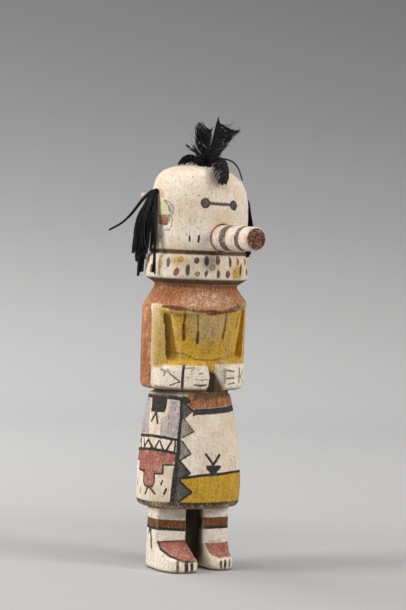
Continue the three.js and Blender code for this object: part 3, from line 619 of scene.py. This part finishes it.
skin = mixed(tint(233, 221, 205), tint(214, 195, 169), (mottle * 1.3 - 0.15).step(0.25, 0.75))
skin = mixed(skin, tint(226, 198, 182), (place.noise(0.16, 3.0) - 0.12).step(0.38, 0.62) * 0.5)
skin = mixed(skin, tint(240, 232, 216), place.noise(0.6, 3.0, 0.7).step(0.52, 0.70) * 0.6)
skin = mixed(skin, tint(176, 150, 120), fibre.step(0.53, 0.72) * 0.36)
skin = mixed(skin, tint(150, 124, 98), (speckle * 0.6 + pits * 0.4).step(0.53, 0.66) * 0.4)
skin = mixed(skin, tint(112, 88, 66), pits.step(0.63, 0.72) * 0.42)
flecks = place.noise(1.3, 2.0, 0.75)
worn = (flecks * 0.5 + patches * 0.4 + mottle * 0.3 + (fibre - 0.5) * 0.25).step(0.60, 0.70)
COATS = (
    # the coat's name, its light and dark, what shows where it has rubbed, how far it has rubbed,
    # and how soft its edge is
    ("chalk", (242, 232, 216), (224, 209, 188), (198, 178, 150), 0.2, 1.4),
    ("red_ochre", (170, 108, 66), (108, 62, 38), (214, 168, 128), 0.75, 0.5),
    ("worn_red", (190, 138, 104), (140, 88, 60), (226, 196, 166), 0.85, 2.8),
    ("cream", (222, 194, 158), (184, 150, 108), (232, 214, 186), 0.5, 1.0),
    ("yellow", (206, 164, 46), (156, 112, 30), (214, 180, 98), 0.6, 0.45),
    # a brighter yellow, painted light for the arm openings
    ("sunny", (232, 192, 78), (206, 164, 56), (232, 204, 124), 0.3, 0.9),
    ("straw", (192, 160, 88), (158, 126, 58), (214, 192, 142), 0.6, 2.0),
    ("beige", (190, 162, 114), (134, 106, 66), (204, 172, 96), 0.5, 3.2),
    ("white", (226, 212, 190), (204, 186, 160), (190, 170, 140), 0.2, 0.3),
    ("pale_yellow", (220, 206, 164), (200, 182, 136), (226, 214, 190), 0.4, 0.3),
    ("clay_pink", (172, 122, 94), (118, 78, 58), (206, 170, 140), 0.3, 0.5),
    ("pink_wash", (214, 180, 156), (190, 148, 124), (226, 206, 184), 0.5, 0.6),
    ("lilac", (184, 172, 168), (118, 106, 114), (216, 202, 186), 0.85, 0.7),
    ("rose", (168, 104, 88), (112, 56, 50), (208, 160, 140), 0.75, 0.4),
    ("rust", (128, 78, 42), (78, 44, 26), (170, 126, 88), 0.45, 0.35),
    ("stone", (146, 136, 126), (84, 76, 74), (204, 190, 170), 0.8, 0.3),
    ("grey_wash", (168, 158, 146), (148, 138, 128), (200, 186, 166), 0.3, 2.4),
    ("charcoal", (94, 88, 84), (44, 40, 40), (150, 138, 126), 0.45, 0.25),
    ("pencil", (138, 130, 126), (116, 106, 102), (190, 178, 160), 0.3, 0.3),
    ("indigo", (58, 54, 58), (36, 33, 38), (120, 106, 96), 0.35, 0.35),
    ("umber", (94, 52, 28), (54, 30, 18), (146, 98, 58), 0.6, 0.7),
    ("brown", (100, 76, 56), (62, 44, 32), (150, 124, 96), 0.3, 0.6),
    ("bare", (214, 180, 136), (180, 142, 96), (120, 84, 54), 0.3, 0.6),
    # dirt, and painted shade under overhangs and in gaps
    ("dirt", (104, 78, 52), (58, 40, 26), (150, 120, 84), 0.4, 1.6),
    ("black", (54, 49, 47), (30, 27, 27), (112, 102, 94), 0.35, 0.24),
    ("hem", (66, 56, 48), (34, 29, 27), (178, 156, 128), 0.75, 0.45),
    # dark paint with painted shade, for deep gaps
    ("soot", (46, 34, 24), (28, 20, 14), (60, 44, 30), 0.3, 0.9),
)
for name, light, dark, rubbed, how_far, soft in COATS:
    uneven = (patches * 0.35 + streaks * 0.25 + speckle * 0.4).step(0.42, 0.62)
    coat = mixed(tint(*light), tint(*dark), uneven)
    grit = (flecks * 0.7 + fibre * 0.3).step(0.53, 0.64)
    coat = mixed(coat, tint(*(0.6 * c for c in dark)), grit * 0.65)
    coat = mixed(coat, tint(*rubbed), worn * how_far)
    skin = mixed(skin, coat, cover(name, soft))
grain_hue = place.node("Attribute", {"attribute_name": "grain_colour"})
grain_rim = (place.laid("grain") + (speckle - 0.5) * 2.0).step(-0.9, -0.2)
grain_hue = mixed(grain_hue, tint(40, 30, 24), grain_rim * 0.45)
skin = mixed(skin, grain_hue, cover("grain", 0.3) * 0.9)
# The painted shadow of the drooping feather on the brow, broken up by speckle.
skin = mixed(skin, tint(112, 96, 80), place.laid("smudge").step(0.0, 1.0) * (0.25 + speckle * 0.8))
skin = mixed(skin, tint(206, 182, 146), edge_wear * 0.3)
# The creases darkened, as dirt and painted shade.
skin = mixed(skin, tint(84, 60, 38), crease_dirt_and_shade * 0.4)
# The hollows darkened, as dirt and painted shade.
skin = mixed(skin, tint(74, 52, 32), hollow * 0.65)
stains = (place.noise(0.85, 2.0) + (patches - 0.5) * 0.5).step(0.65, 0.73)
skin = mixed(skin, tint(72, 50, 34), stains * 0.6)
relief = fibre * 0.6 - pits.step(0.5, 0.75) * 0.5 + patches * 0.8
relief = relief + (1 - speckle.step(0.62, 0.7)) * 0.3
finish(paint, shader, skin, 0.72 + patches * 0.2, 0.28, relief, strength=0.8, depth=0.4 * MM)
figure.data.materials.append(paint)
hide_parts("body")
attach(figure, "root")


# ---- Snout ------------------------------------------------------------------------------------
# A tapering peg of the same wood, glued into a hole in the face and cut off square at its tip.
# It is white with two dark rings; the cut end is stained brown and its rim is chipped.

snout = carved_copy("snout", "banded_snout", grid=0.45 * MM, knife_depth=0.2 * MM, facet=5 * MM)
TIP = 62.8  # how far out it is cut off
wood = corners(snout)
wood[:, 1] = np.maximum(wood[:, 1], -TIP)
put_back(snout, wood)
reach = -wood[:, 1]
from_middle = np.hypot(wood[:, 0] - 2.3, wood[:, 2] - 205.8)
lay_down(snout, "ring", np.minimum(np.abs(reach - 35.7) - 3.6, np.abs(reach - 51.6) - 2.4))
lay_down(snout, "cut_end", np.maximum(from_middle - 6.5, TIP - 1.0 - reach))

snout_paint, shader, place = material("painted_snout")
wobble = (place.noise(0.5, 2.0) - 0.5) * 1.6 + (place.noise(1.9, 2.0) - 0.5) * 1.3
patches = place.noise(0.35, 4.0, 0.6)
speckle = place.noise(1.4, 3.0, 0.75)
fibre = place.noise(0.9, 4.0, 0.65, (1, 0.12, 1))
pits = place.noise(1.8, 2.0, 0.7)
skin = mixed(tint(222, 207, 191), tint(194, 164, 146), patches.step(0.35, 0.7))
skin = mixed(skin, tint(170, 140, 112), fibre.step(0.54, 0.74) * 0.45)
skin = mixed(skin, tint(140, 104, 84), pits.step(0.58, 0.72) * 0.5)
ring = mixed(tint(56, 50, 50), tint(92, 84, 82), speckle.step(0.4, 0.6))
ring = mixed(ring, tint(196, 182, 168), (speckle * 0.6 + patches * 0.5).step(0.56, 0.64) * 0.6)
skin = mixed(skin, ring, cover("ring", 0.4))
pith = (place.noise(0.8, 3.0, 0.7) + (patches - 0.5) * 0.6).step(0.46, 0.66)
cut = mixed(tint(88, 50, 40), tint(168, 128, 98), pith)
cut = mixed(cut, tint(40, 28, 24), place.noise(1.0, 3.0, 0.75).step(0.50, 0.60) * 0.8)
skin = mixed(skin, cut, cover("cut_end", 0.4))
relief = fibre * 0.6 - pits * 0.5 + patches * 0.7
finish(snout_paint, shader, skin, 0.7 + patches * 0.2, 0.28, relief, strength=0.8, depth=0.4 * MM)
snout.data.materials.append(snout_paint)
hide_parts("snout")
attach(snout, "root")


# ---- Side peg ---------------------------------------------------------------------------------
# A plain whittled peg of bare wood at the back of the right side of the head, pushed into a
# drilled hole and left unpainted.

side_peg = carved_copy(
    "side_peg", "bare_side_peg", grid=0.2 * MM, knife_depth=0.1 * MM, facet=2 * MM)
bare, shader, place = material("bare_peg_wood")
streak = place.noise(1.1, 4.0, 0.6, (0.3, 1, 1))
wood = mixed(tint(206, 194, 172), tint(168, 148, 118), streak.step(0.4, 0.7))
finish(bare, shader, wood, 0.6 + streak * 0.2, 0.5, streak, strength=0.4, depth=0.2 * MM)
side_peg.data.materials.append(bare)
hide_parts("side_peg")
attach(side_peg, "root")


# ---- Hair -------------------------------------------------------------------------------------
# A bunch of narrow black strips hangs at each side of the head, knotted and pushed into a hole
# high on the side. The strips are cut blunt, lie over each other and are dull with a faint sheen.

STRIP = {"width": 1.2, "thick": 0.7, "steps": 16}


def strip_blank(name, steps, columns=2):
    """A flat blank one unit long and one wide, standing for a strip before it is bent."""
    bpy.ops.object.select_all(action="DESELECT")
    bpy.ops.mesh.primitive_grid_add(
        x_subdivisions=columns, y_subdivisions=steps, size=1, location=(0, 0.5, 0))
    blank = bpy.context.active_object
    blank.name = name
    bpy.ops.object.transform_apply(location=True, rotation=True, scale=True)
    thickness = blank.modifiers.new("thickness", "SOLIDIFY")
    thickness.thickness, thickness.offset = 1.0, 0.0
    bpy.ops.object.modifier_apply(modifier=thickness.name)
    return blank


def unit(ways):
    """The same directions, each one unit long."""
    return ways / np.linalg.norm(ways, axis=-1, keepdims=True)


def on_line(line, share):
    """What a line holds at the given shares of its length."""
    spots = np.linspace(0, 1, len(line))
    return np.stack([np.interp(share, spots, line[:, k]) for k in range(3)], -1)


def square_to(way, across):
    """The direction across a line, turned square to the way that the line runs."""
    across = np.array(across, float)
    return unit(across - way * (way @ across)[..., None])


def smooth_line(points, count=60):
    """Evenly spaced places on a smooth line through the points."""
    p = np.array(points, float)
    p = np.vstack([2 * p[0] - p[1], p, 2 * p[-1] - p[-2]])
    t = np.linspace(0, 1, 12, endpoint=False)[:, None]
    out = []
    for a, b, c, d in zip(p[:-3], p[1:-2], p[2:-1], p[3:]):
        square, cube = (2 * a - 5 * b + 4 * c - d) * t**2, (3 * b - a - 3 * c + d) * t**3
        out.append(0.5 * (2 * b + (c - a) * t + square + cube))
    line = np.vstack(out + [p[-2:-1]])
    far = np.r_[0, np.cumsum(np.linalg.norm(np.diff(line, axis=0), axis=1))]
    even = np.linspace(0, far[-1], count)
    return np.stack([np.interp(even, far, line[:, k]) for k in range(3)], -1)


def bend(blank, points, width, thick, across, twist=0.0):
    """A copy of the blank laid along a line; width and thick are given along its length."""
    line = smooth_line(points)
    piece = blank.copy()
    piece.data = blank.data.copy()
    bpy.context.collection.objects.link(piece)
    flat = rows(piece, "co")
    share = np.clip(flat[:, 1], 0, 1)
    way = unit(on_line(np.gradient(line, axis=0), share))
    side = square_to(way, across)
    face = np.cross(way, side)
    cos, sin = np.cos(twist * share)[:, None], np.sin(twist * share)[:, None]
    side, face = side * cos + face * sin, face * cos - side * sin
    wide = np.interp(share, np.linspace(0, 1, len(width)), width)[:, None]
    deep = np.interp(share, np.linspace(0, 1, len(thick)), thick)[:, None]
    put_back(piece, on_line(line, share) + side * flat[:, 0:1] * wide + face * flat[:, 2:3] * deep)
    return piece


def gathered(pieces, name, finished_with):
    """Joins the pieces into one object of one material, with faces that point outwards."""
    bpy.ops.object.select_all(action="DESELECT")
    for piece in pieces:
        piece.select_set(True)
    bpy.context.view_layer.objects.active = pieces[0]
    bpy.ops.object.join()
    whole = bpy.context.active_object
    whole.name = whole.data.name = name
    bpy.ops.object.mode_set(mode="EDIT")
    bpy.ops.mesh.select_all(action="SELECT")
    bpy.ops.mesh.normals_make_consistent(inside=False)
    bpy.ops.object.mode_set(mode="OBJECT")
    bpy.ops.object.shade_smooth_by_angle(angle=math.radians(50))
    whole.data.materials.clear()
    whole.data.materials.append(finished_with)
    whole.select_set(False)
    return whole


blank = strip_blank("strip_blank", STRIP["steps"])
hide, shader, place = material("black_hide")
streak = place.noise(0.9, 4.0, 0.6, (1, 1, 0.15))
# Lighter streaks in the black are a painted sheen.
black_with_painted_sheen = mixed(tint(10, 9, 9), tint(46, 40, 37), streak.step(0.50, 0.75))
finish(hide, shader, black_with_painted_sheen, 0.55 + streak * 0.3, 0.16, streak, strength=0.5, depth=0.2 * MM)


def bunch(side, root, belly, ends, seed):
    """Strips leave one knot beside each other, round over and hang down to their own blunt ends.

    root is how far out, back and up the knot lies, and belly how far the strips swell out. Each
    of ends gives how far back and up a strip ends, and which layer it lies in.
    """
    rng = random.Random(seed)
    strips = []
    out, back, top = root
    for end_back, end_height, layer in ends:
        start = back + rng.uniform(-1.4, 2.2) + (end_back - back) * 0.12
        lift = -abs(start - back - 0.6) * 0.42 - layer * 0.35
        off = side * (out + 0.5 * layer)
        far = side * (belly + 0.7 * layer + rng.uniform(-0.4, 0.5))
        sway, swerve = rng.uniform(-1.6, 1.6), rng.uniform(-1.3, 1.3)
        run = end_back - start
        line = [
            (off - side * 1.1, start * 0.75 + back * 0.25, top - 2.6),
            (off + side * 0.35, start, top + lift),
            (off + far * 0.55, start + run * 0.38 + swerve * 0.5, top - 8 + lift),
            (off + far * 0.92, start + run * 0.80 + sway, (top + end_height) / 2 + 1),
            (off + far * 1.02, start + run * 0.97 + sway * 0.4 + swerve, end_height + 9),
            (off + far + rng.uniform(-0.5, 0.4), end_back, end_height),
        ]
        width = STRIP["width"] * rng.uniform(0.75, 1.3)
        thick = STRIP["thick"] * rng.uniform(0.8, 1.4)
        widths, depths = [width * 0.8, width, width], [thick, thick, thick * 0.9]
        strips.append(bend(blank, line, widths, depths, (0, 1, 0), rng.uniform(-1.4, 1.4)))
    return strips


RIGHT_ENDS = [
    (-8.6, 181.6, 0), (-7, 182.6, 0.2), (-5, 204, 0), (-4.2, 199, 0), (-2.6, 197.2, 0.4),
    (-0.8, 195.4, 0), (0.6, 196.8, 0.6), (1.6, 193.6, 0), (2.6, 195.8, 0.8), (3.6, 190.2, 0),
    (4.6, 192.4, 1), (5.4, 186, 0.4), (6.4, 190.4, 1.2), (7.2, 182.4, 0), (8.2, 186.8, 0.8),
    (9, 179.6, 1), (9.8, 182, 0), (10.6, 180.4, 0.6), (11.4, 187.6, 1.4), (12.4, 184.8, 0),
    (13.2, 190.6, 0.8), (14.2, 188.4, 0.2), (15.2, 193.8, 1), (16.2, 196, 0.3), (17.2, 193.2, 0.8),
    (18.2, 198.2, 0.2), (-1.4, 201, 1.6), (1.2, 198.2, 1.8), (4, 196.6, 2), (6.8, 193.2, 2.2),
    (9.6, 190.6, 2), (12.2, 195.2, 1.8), (14.6, 199.6, 1.4), (7.8, 197, 0.5), (3.2, 201.6, 1.2),
]
right_strips = bunch(-1, (32.2, -0.9, 233.6), 2.9, RIGHT_ENDS, seed=11)
# Two strips have worked loose and stand off backwards.
for drop, *ends in (
    (0.0, (-43.0, 21.4, 211.8), (-47.7, 29.0, 207.0)),
    (0.7, (-40.8, 19.6, 214.4), (-41.5, 22.0, 212.5)),
):
    right_strips.append(bend(blank, [
        (-31.4, 0.6, 231.6), (-33.4, 2.2, 232.4 - drop), (-36.4, 8.6, 226.8 - drop),
        (-39.6, 16.0, 217.8 - drop), *ends,
    ], [1.3, 1.6, 1.5], [0.8, 0.85, 0.75], (0, 0.4, 1), 0.8))
hair_right = gathered(right_strips, "right_hair_bunch", hide)
LEFT_ENDS = [
    (-5.6, 198.6, 0), (-4.4, 195.2, 0.6), (-3, 199, 0), (-1.4, 193.6, 1), (-0.6, 200, 0.2),
    (0.6, 196, 0), (1.4, 190.8, 1), (2.6, 195.6, 0.4), (3.6, 191, 0), (4.6, 192.5, 1.2),
    (5.6, 195.2, 0.2), (6.6, 192, 0.8), (7.4, 193.6, 1.2), (8.6, 197.2, 0.1), (9.6, 195.6, 0.6),
    (0.2, 207, 1.3), (3, 204, 1.4), (6, 208, 1.2),
]
left_strips = bunch(1, (31.6, -3.6, 229.6), 3.1, LEFT_ENDS, seed=23)
hair_left = gathered(left_strips, "left_hair_bunch", hide)
for hair in (hair_right, hair_left):
    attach(hair, "root")
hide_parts("hair_right_loose", *[f"hair_right_{number:02d}" for number in range(1, 15)])
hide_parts(*[f"hair_left_{number:02d}" for number in range(1, 8)])


# ---- Crest ------------------------------------------------------------------------------------
# Five small black feathers and one bare quill stand and droop from a hole in the crown, tied in
# a tuft. Each has a thin shaft and fine barbs, parted and ragged where they have broken.

barb_blank = strip_blank("barb_blank", 4, 1)
plume, shader, place = material("black_feather")
gloss = place.noise(0.7, 3.0, 0.6)
dark = mixed(tint(10, 9, 10), tint(30, 28, 29), gloss.step(0.45, 0.85))
finish(plume, shader, dark, 0.45 + gloss * 0.25, 0.25)
SOCKET = (0.6, -3.5)
SOCKET_FLOOR, CROWN, CREST_TOP = 242.8, 248.6, 279.3
BARB_DEPTH = [0.2, 0.18, 0.1]
WILD_SHARE = 0.22  # of the barbs, which keep out of the locks
SHORTEST = 0.4


def from_socket(x, y, line):
    """A shaft's line, which starts upright in the hole in the crown."""
    across, back = SOCKET[0] + x, SOCKET[1] + y
    return [(across, back, SOCKET_FLOOR), (across, back, CROWN + 0.8), *line]


def feather(name, seat, line, across, right, left, lean, barbs, start, seed,
            lock=8, ragged=0.35, fine=0.46, fluff=24):
    """A shaft with two vanes of fine barbs, which part into pointed locks as worn feathers do.

    right and left give the length of each side's barbs along the shaft, and lean how steeply they
    run up it. The barbs begin at the share start of the shaft, lock of them gather to one point,
    and fine is how wide each is. Soft down, the fluff, stands out round the foot of the shaft.
    """
    rng = random.Random(seed)
    points = from_socket(*seat, line)
    parts = [bend(blank, points, [0.9, 0.8, 0.6, 0.3], [0.9, 0.7, 0.5, 0.3], across)]
    shaft = smooth_line(points)
    way = unit(np.gradient(shaft, axis=0))

    def barb_at(share, side, slant, reach):
        foot, forward = on_line(shaft, share), on_line(way, share)
        out = square_to(forward, across)
        return foot, forward, out, foot + unit(side * out + forward * slant) * reach

    for side, lengths, steep in ((1, right, lean[0]), (-1, left, lean[1])):
        spread = np.linspace(start, 1, len(lengths))
        for number in range(barbs):
            share = start + (1 - start) * (number + rng.uniform(-0.4, 0.4)) / (barbs - 1)
            share = min(max(share, start), 0.995)
            locked = min(start + (1 - start) * (number // lock + 0.6) * lock / (barbs - 1), 1.0)
            wild = rng.random() < WILD_SHARE
            slant = np.interp(share, np.linspace(start, 1, len(steep)), steep)
            own = slant + rng.uniform(-0.18, 0.18) * (4 if wild else 1)
            reach = np.interp(share, spread, lengths) * rng.uniform(1 - ragged, 1)
            if reach < SHORTEST:
                continue
            foot, forward, out, tip = barb_at(share, side, own, reach)
            lock_tip = barb_at(locked, side, slant, np.interp(locked, spread, lengths))[-1]
            pull = 0.0 if wild else rng.uniform(0.25, 0.85)
            curl = rng.uniform(-0.22, 0.22)
            bow = np.cross(forward, out) * curl * reach
            tip = tip * (1 - pull) + lock_tip * pull + bow * 0.6
            sag = (side * out * 0.12 - forward * 0.05) * reach
            half = foot + (tip - foot) * 0.5 + sag + bow * 0.1
            tip[2], half[2] = min(tip[2], CREST_TOP), min(half[2], CREST_TOP)
            wide = fine * (0.55 if wild else rng.uniform(0.7, 1.2))
            widths = [wide, wide, wide * 0.35]
            parts.append(bend(barb_blank, [foot, half, tip], widths, BARB_DEPTH, forward, curl * 2))
    for _ in range(fluff):
        share, turn = start + rng.uniform(0.0, 0.18), rng.uniform(0, 2 * math.pi)
        foot, reach = on_line(shaft, share), rng.uniform(2.6, 5.2)
        out, rise = (math.cos(turn), math.sin(turn)), rng.uniform(-0.1, 0.9)
        tip = foot + np.array([out[0] * 0.75, out[1] * 0.75, rise]) * reach
        tip[2] = max(tip[2], CROWN + 0.3)
        half = foot + (tip - foot) * 0.5 + np.array([0, 0, 0.22 * reach])
        widths = [0.4, 0.35, 0.12]
        parts.append(bend(barb_blank, [foot, half, tip], widths, BARB_DEPTH, (0, 0, 1), 0.4))
    whole = gathered(parts, "crest_" + name, plume)
    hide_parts("feather_" + name)
    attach(whole, "root")


feather(
    "upright_right", (-1.5, 1.2),
    [(0, -1.2, 253), (1.4, -2.4, 259), (2.2, -3.2, 266), (2.4, -3.6, 271.5)],
    across=(0.80, -0.58, 0.1), right=[4.4, 4, 3.2, 3, 3, 2.4], left=[6.4, 11, 14.5, 15, 12, 7.5],
    lean=([1.2, 1.6], [0.65, 0.85, 1, 1.05, 0.85]),
    barbs=150, start=0.16, seed=3, lock=14, ragged=0.45, fine=0.38, fluff=60)
feather(
    "upright_left", (1.6, 0),
    [(3, -4.4, 254), (4.8, -5.6, 262), (6.4, -6.4, 270), (7.4, -7, 275.6)],
    across=(0.86, -0.46, -0.1),
    right=[4, 7.6, 11, 13.4, 14.4, 12.8], left=[4.6, 4.8, 4.6, 6.4, 7, 5],
    lean=([0.9, 0.9, 0.8, 0.62, 0.35, -0.22], [0.9, 1.3, 2.2, 2.8, 2.4]),
    barbs=180, start=0.16, seed=5, lock=11, ragged=0.4, fine=0.4, fluff=50)
feather(
    "small_right", (-2.2, -1.1),
    [(-3.6, -2.2, 255), (-6.6, -0.6, 258), (-10.9, 1.6, 261.2)],
    across=(0.35, 0.1, 0.93), right=[1, 1.4, 1.8, 2, 1.6], left=[2.2, 3, 3.6, 3, 1.2],
    lean=([2.6, 2.6], [2.2, 2.2]), barbs=16, start=0.30, seed=8, lock=4, ragged=0.6, fine=0.4)
feather(
    "drooping_right", (-0.9, 2.9),
    [(-3.4, 2.4, 253.6), (-7.6, 3, 254.8), (-11.6, 4.4, 253), (-14, 5.4, 249.8)],
    across=(0.06, 0.42, -0.9), right=[2.6, 5, 7.4, 6.4, 4, 1.4], left=[1.4, 1.8, 2, 1.8, 1.2, 0.6],
    lean=([0.3, 0.5, 0.9], [1.4, 1.4]), barbs=110, start=0.24, seed=9, lock=9)
feather(
    "drooping_front", (0.4, -2.6),
    [(2, -9.6, 254.8), (3.6, -17.2, 252.8), (3.5, -22.6, 247.8),
     (2.6, -25.4, 242.4), (1, -26.8, 238.2)],
    across=(0.88, -0.46, 0.1), right=[2, 2.8, 3.4, 3.4, 3, 1.6], left=[5, 8.4, 10.4, 10.4, 8, 3],
    lean=([1.4, 1.8, 2.4], [0.1, 0.25, 0.5, 0.9, 1.4]),
    barbs=170, start=0.26, seed=10, lock=5, ragged=0.5, fine=0.34)
quill_line = from_socket(
    2.8, -1.2, [(6.8, -7.6, 253.4), (12.6, -12, 253), (16.8, -14.6, 249), (19.8, -16, 241)])
quill = bend(blank, quill_line, [1.5, 1.4, 1.1], [1.1, 1, 0.8], (0.5, 0.8, 0))
quill = gathered([quill], "crest_long_quill", plume)
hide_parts("feather_long_quill")
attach(quill, "root")
for spare in (blank, barb_blank):
    bpy.data.objects.remove(spare)


# ---- Studio -----------------------------------------------------------------------------------
# A pale sheet runs along the floor and up behind the figure in one soft curve. Soft lamps stand at
# the left, at the right and above, and one more lights the sheet behind the figure.

CURVE_STEPS, CURVE_STEP, SHEET_HEIGHT = 12, 0.1, 2.6
bpy.ops.mesh.primitive_plane_add(size=1, location=(0, 0, 0))
sheet = bpy.context.active_object
sheet.name = "studio_sheet"
bpy.ops.object.mode_set(mode="EDIT")
bpy.ops.transform.resize(value=(6, 2.85, 1))
bpy.ops.transform.translate(value=(0, -0.575, -0.0002))
bpy.ops.object.mode_set(mode="OBJECT")
back_edge = [v.index for v in sheet.data.vertices if v.co.y > 0.2]
bpy.ops.object.mode_set(mode="EDIT")
bpy.ops.mesh.select_mode(type="EDGE")
bpy.ops.mesh.select_all(action="DESELECT")
bpy.ops.object.mode_set(mode="OBJECT")
for edge in sheet.data.edges:
    edge.select = all(v in back_edge for v in edge.vertices)
bpy.ops.object.mode_set(mode="EDIT")
for step in range(CURVE_STEPS):
    angle = math.radians(90 / CURVE_STEPS * (step + 0.5))
    rise = (0, CURVE_STEP * math.cos(angle), CURVE_STEP * math.sin(angle))
    bpy.ops.mesh.extrude_region_move(TRANSFORM_OT_translate={"value": rise})
bpy.ops.mesh.extrude_region_move(TRANSFORM_OT_translate={"value": (0, 0, SHEET_HEIGHT)})
bpy.ops.mesh.select_all(action="SELECT")
bpy.ops.transform.rotate(value=math.radians(31), orient_axis="Z", center_override=(0, 0, 0))
bpy.ops.object.mode_set(mode="OBJECT")
bpy.ops.object.shade_smooth()
paper, shader, place = material("studio_sheet")
# The sheet's colour holds painted light and shade: darker in front, palest behind the figure, and
# darker and a little bluer up the wall.
SHADES = (
    (0.0, 176), (0.05, 177), (0.10, 179), (0.139, 188), (0.209, 196), (0.297, 204), (0.369, 208),
    (0.444, 208), (0.508, 203), (0.561, 195), (0.597, 188), (0.632, 181), (0.664, 173),
    (0.696, 166), (0.735, 158), (0.772, 149), (0.824, 140), (0.868, 132), (1.0, 116),
)
BLUER_FROM, BLUER = 0.6, 1.5
RUN = 2500  # along the floor and up the wall, in millimetres, from the first shade to the last
upright = place.node("SeparateXYZ", None, {0: place}, 2)
away = place.node("VectorMath", {"operation": "DOT_PRODUCT"}, {0: place, 1: (0.515, 0.857, 0.0)}, 1)
stops = [
    (spot, tint(grey, grey, grey + (BLUER if spot > BLUER_FROM else 0))) for spot, grey in SHADES]
pale = place.node("ValToRGB", {"stops": stops}, {0: (upright + away + 100) * (1 / RUN)})
paper.node_tree.links.new(pale.socket, shader.inputs["Base Color"])
shader.inputs["Roughness"].default_value = 0.9
shader.inputs["Specular IOR Level"].default_value = 0.1
sheet.data.materials.append(paper)
sheet.select_set(False)


def lamp(name, place, aim, size, power, colour):
    """A square soft lamp that looks from its place at its aim."""
    light = bpy.data.lights.new(name, "AREA")
    light.shape, light.size, light.energy, light.color = "SQUARE", size, power, colour
    stand = bpy.data.objects.new(name, light)
    bpy.context.collection.objects.link(stand)
    stand.location = place
    stand.rotation_euler = (Vector(aim) - Vector(place)).to_track_quat("-Z", "Y").to_euler()


lamp("left_lamp", (-1.26, 0.23, 0.75), (0, 0, 0.13), 0.5, 16, (1.0, 0.985, 0.96))
lamp("right_lamp", (0.77, -1.05, 0.75), (0, 0, 0.13), 0.5, 11.5, (1.0, 0.97, 0.93))
lamp("top_lamp", (-0.35, -0.55, 1.6), (0, 0, 0.12), 0.9, 7, (1.0, 0.98, 0.96))
lamp("back_lamp", (-0.56, 0.93, 1.4), (-0.66, 1.1, 0), 0.9, 12, (1.0, 1.0, 1.0))
room = bpy.data.worlds.new("studio")
room.use_nodes = True
room.node_tree.nodes["Background"].inputs["Color"].default_value = (0.86, 0.87, 0.9, 1)
room.node_tree.nodes["Background"].inputs["Strength"].default_value = 0.34
bpy.context.scene.world = room
bpy.context.scene.view_settings.view_transform = "Standard"

# The camera stands low before the figure, towards its right side, and leans a little.
AIM, DISTANCE = Vector((0.0037, -0.0022, 0.163)), 1.302
TURN, RISE, ROLL = math.radians(-31), math.radians(2.5), math.radians(2.52)
BACK = Vector((math.sin(TURN), -math.cos(TURN), math.tan(RISE))).normalized()
lens = bpy.data.cameras.new("camera")
lens.lens, lens.sensor_width, lens.clip_end = 123.9, 36.0, 20.0
camera = bpy.data.objects.new("camera", lens)
bpy.context.collection.objects.link(camera)
camera.location = AIM + BACK * DISTANCE
level = BACK.to_track_quat("Z", "Y").to_matrix()
camera.rotation_euler = (level @ Matrix.Rotation(ROLL, 3, "Z")).to_euler()
bpy.context.scene.camera = camera
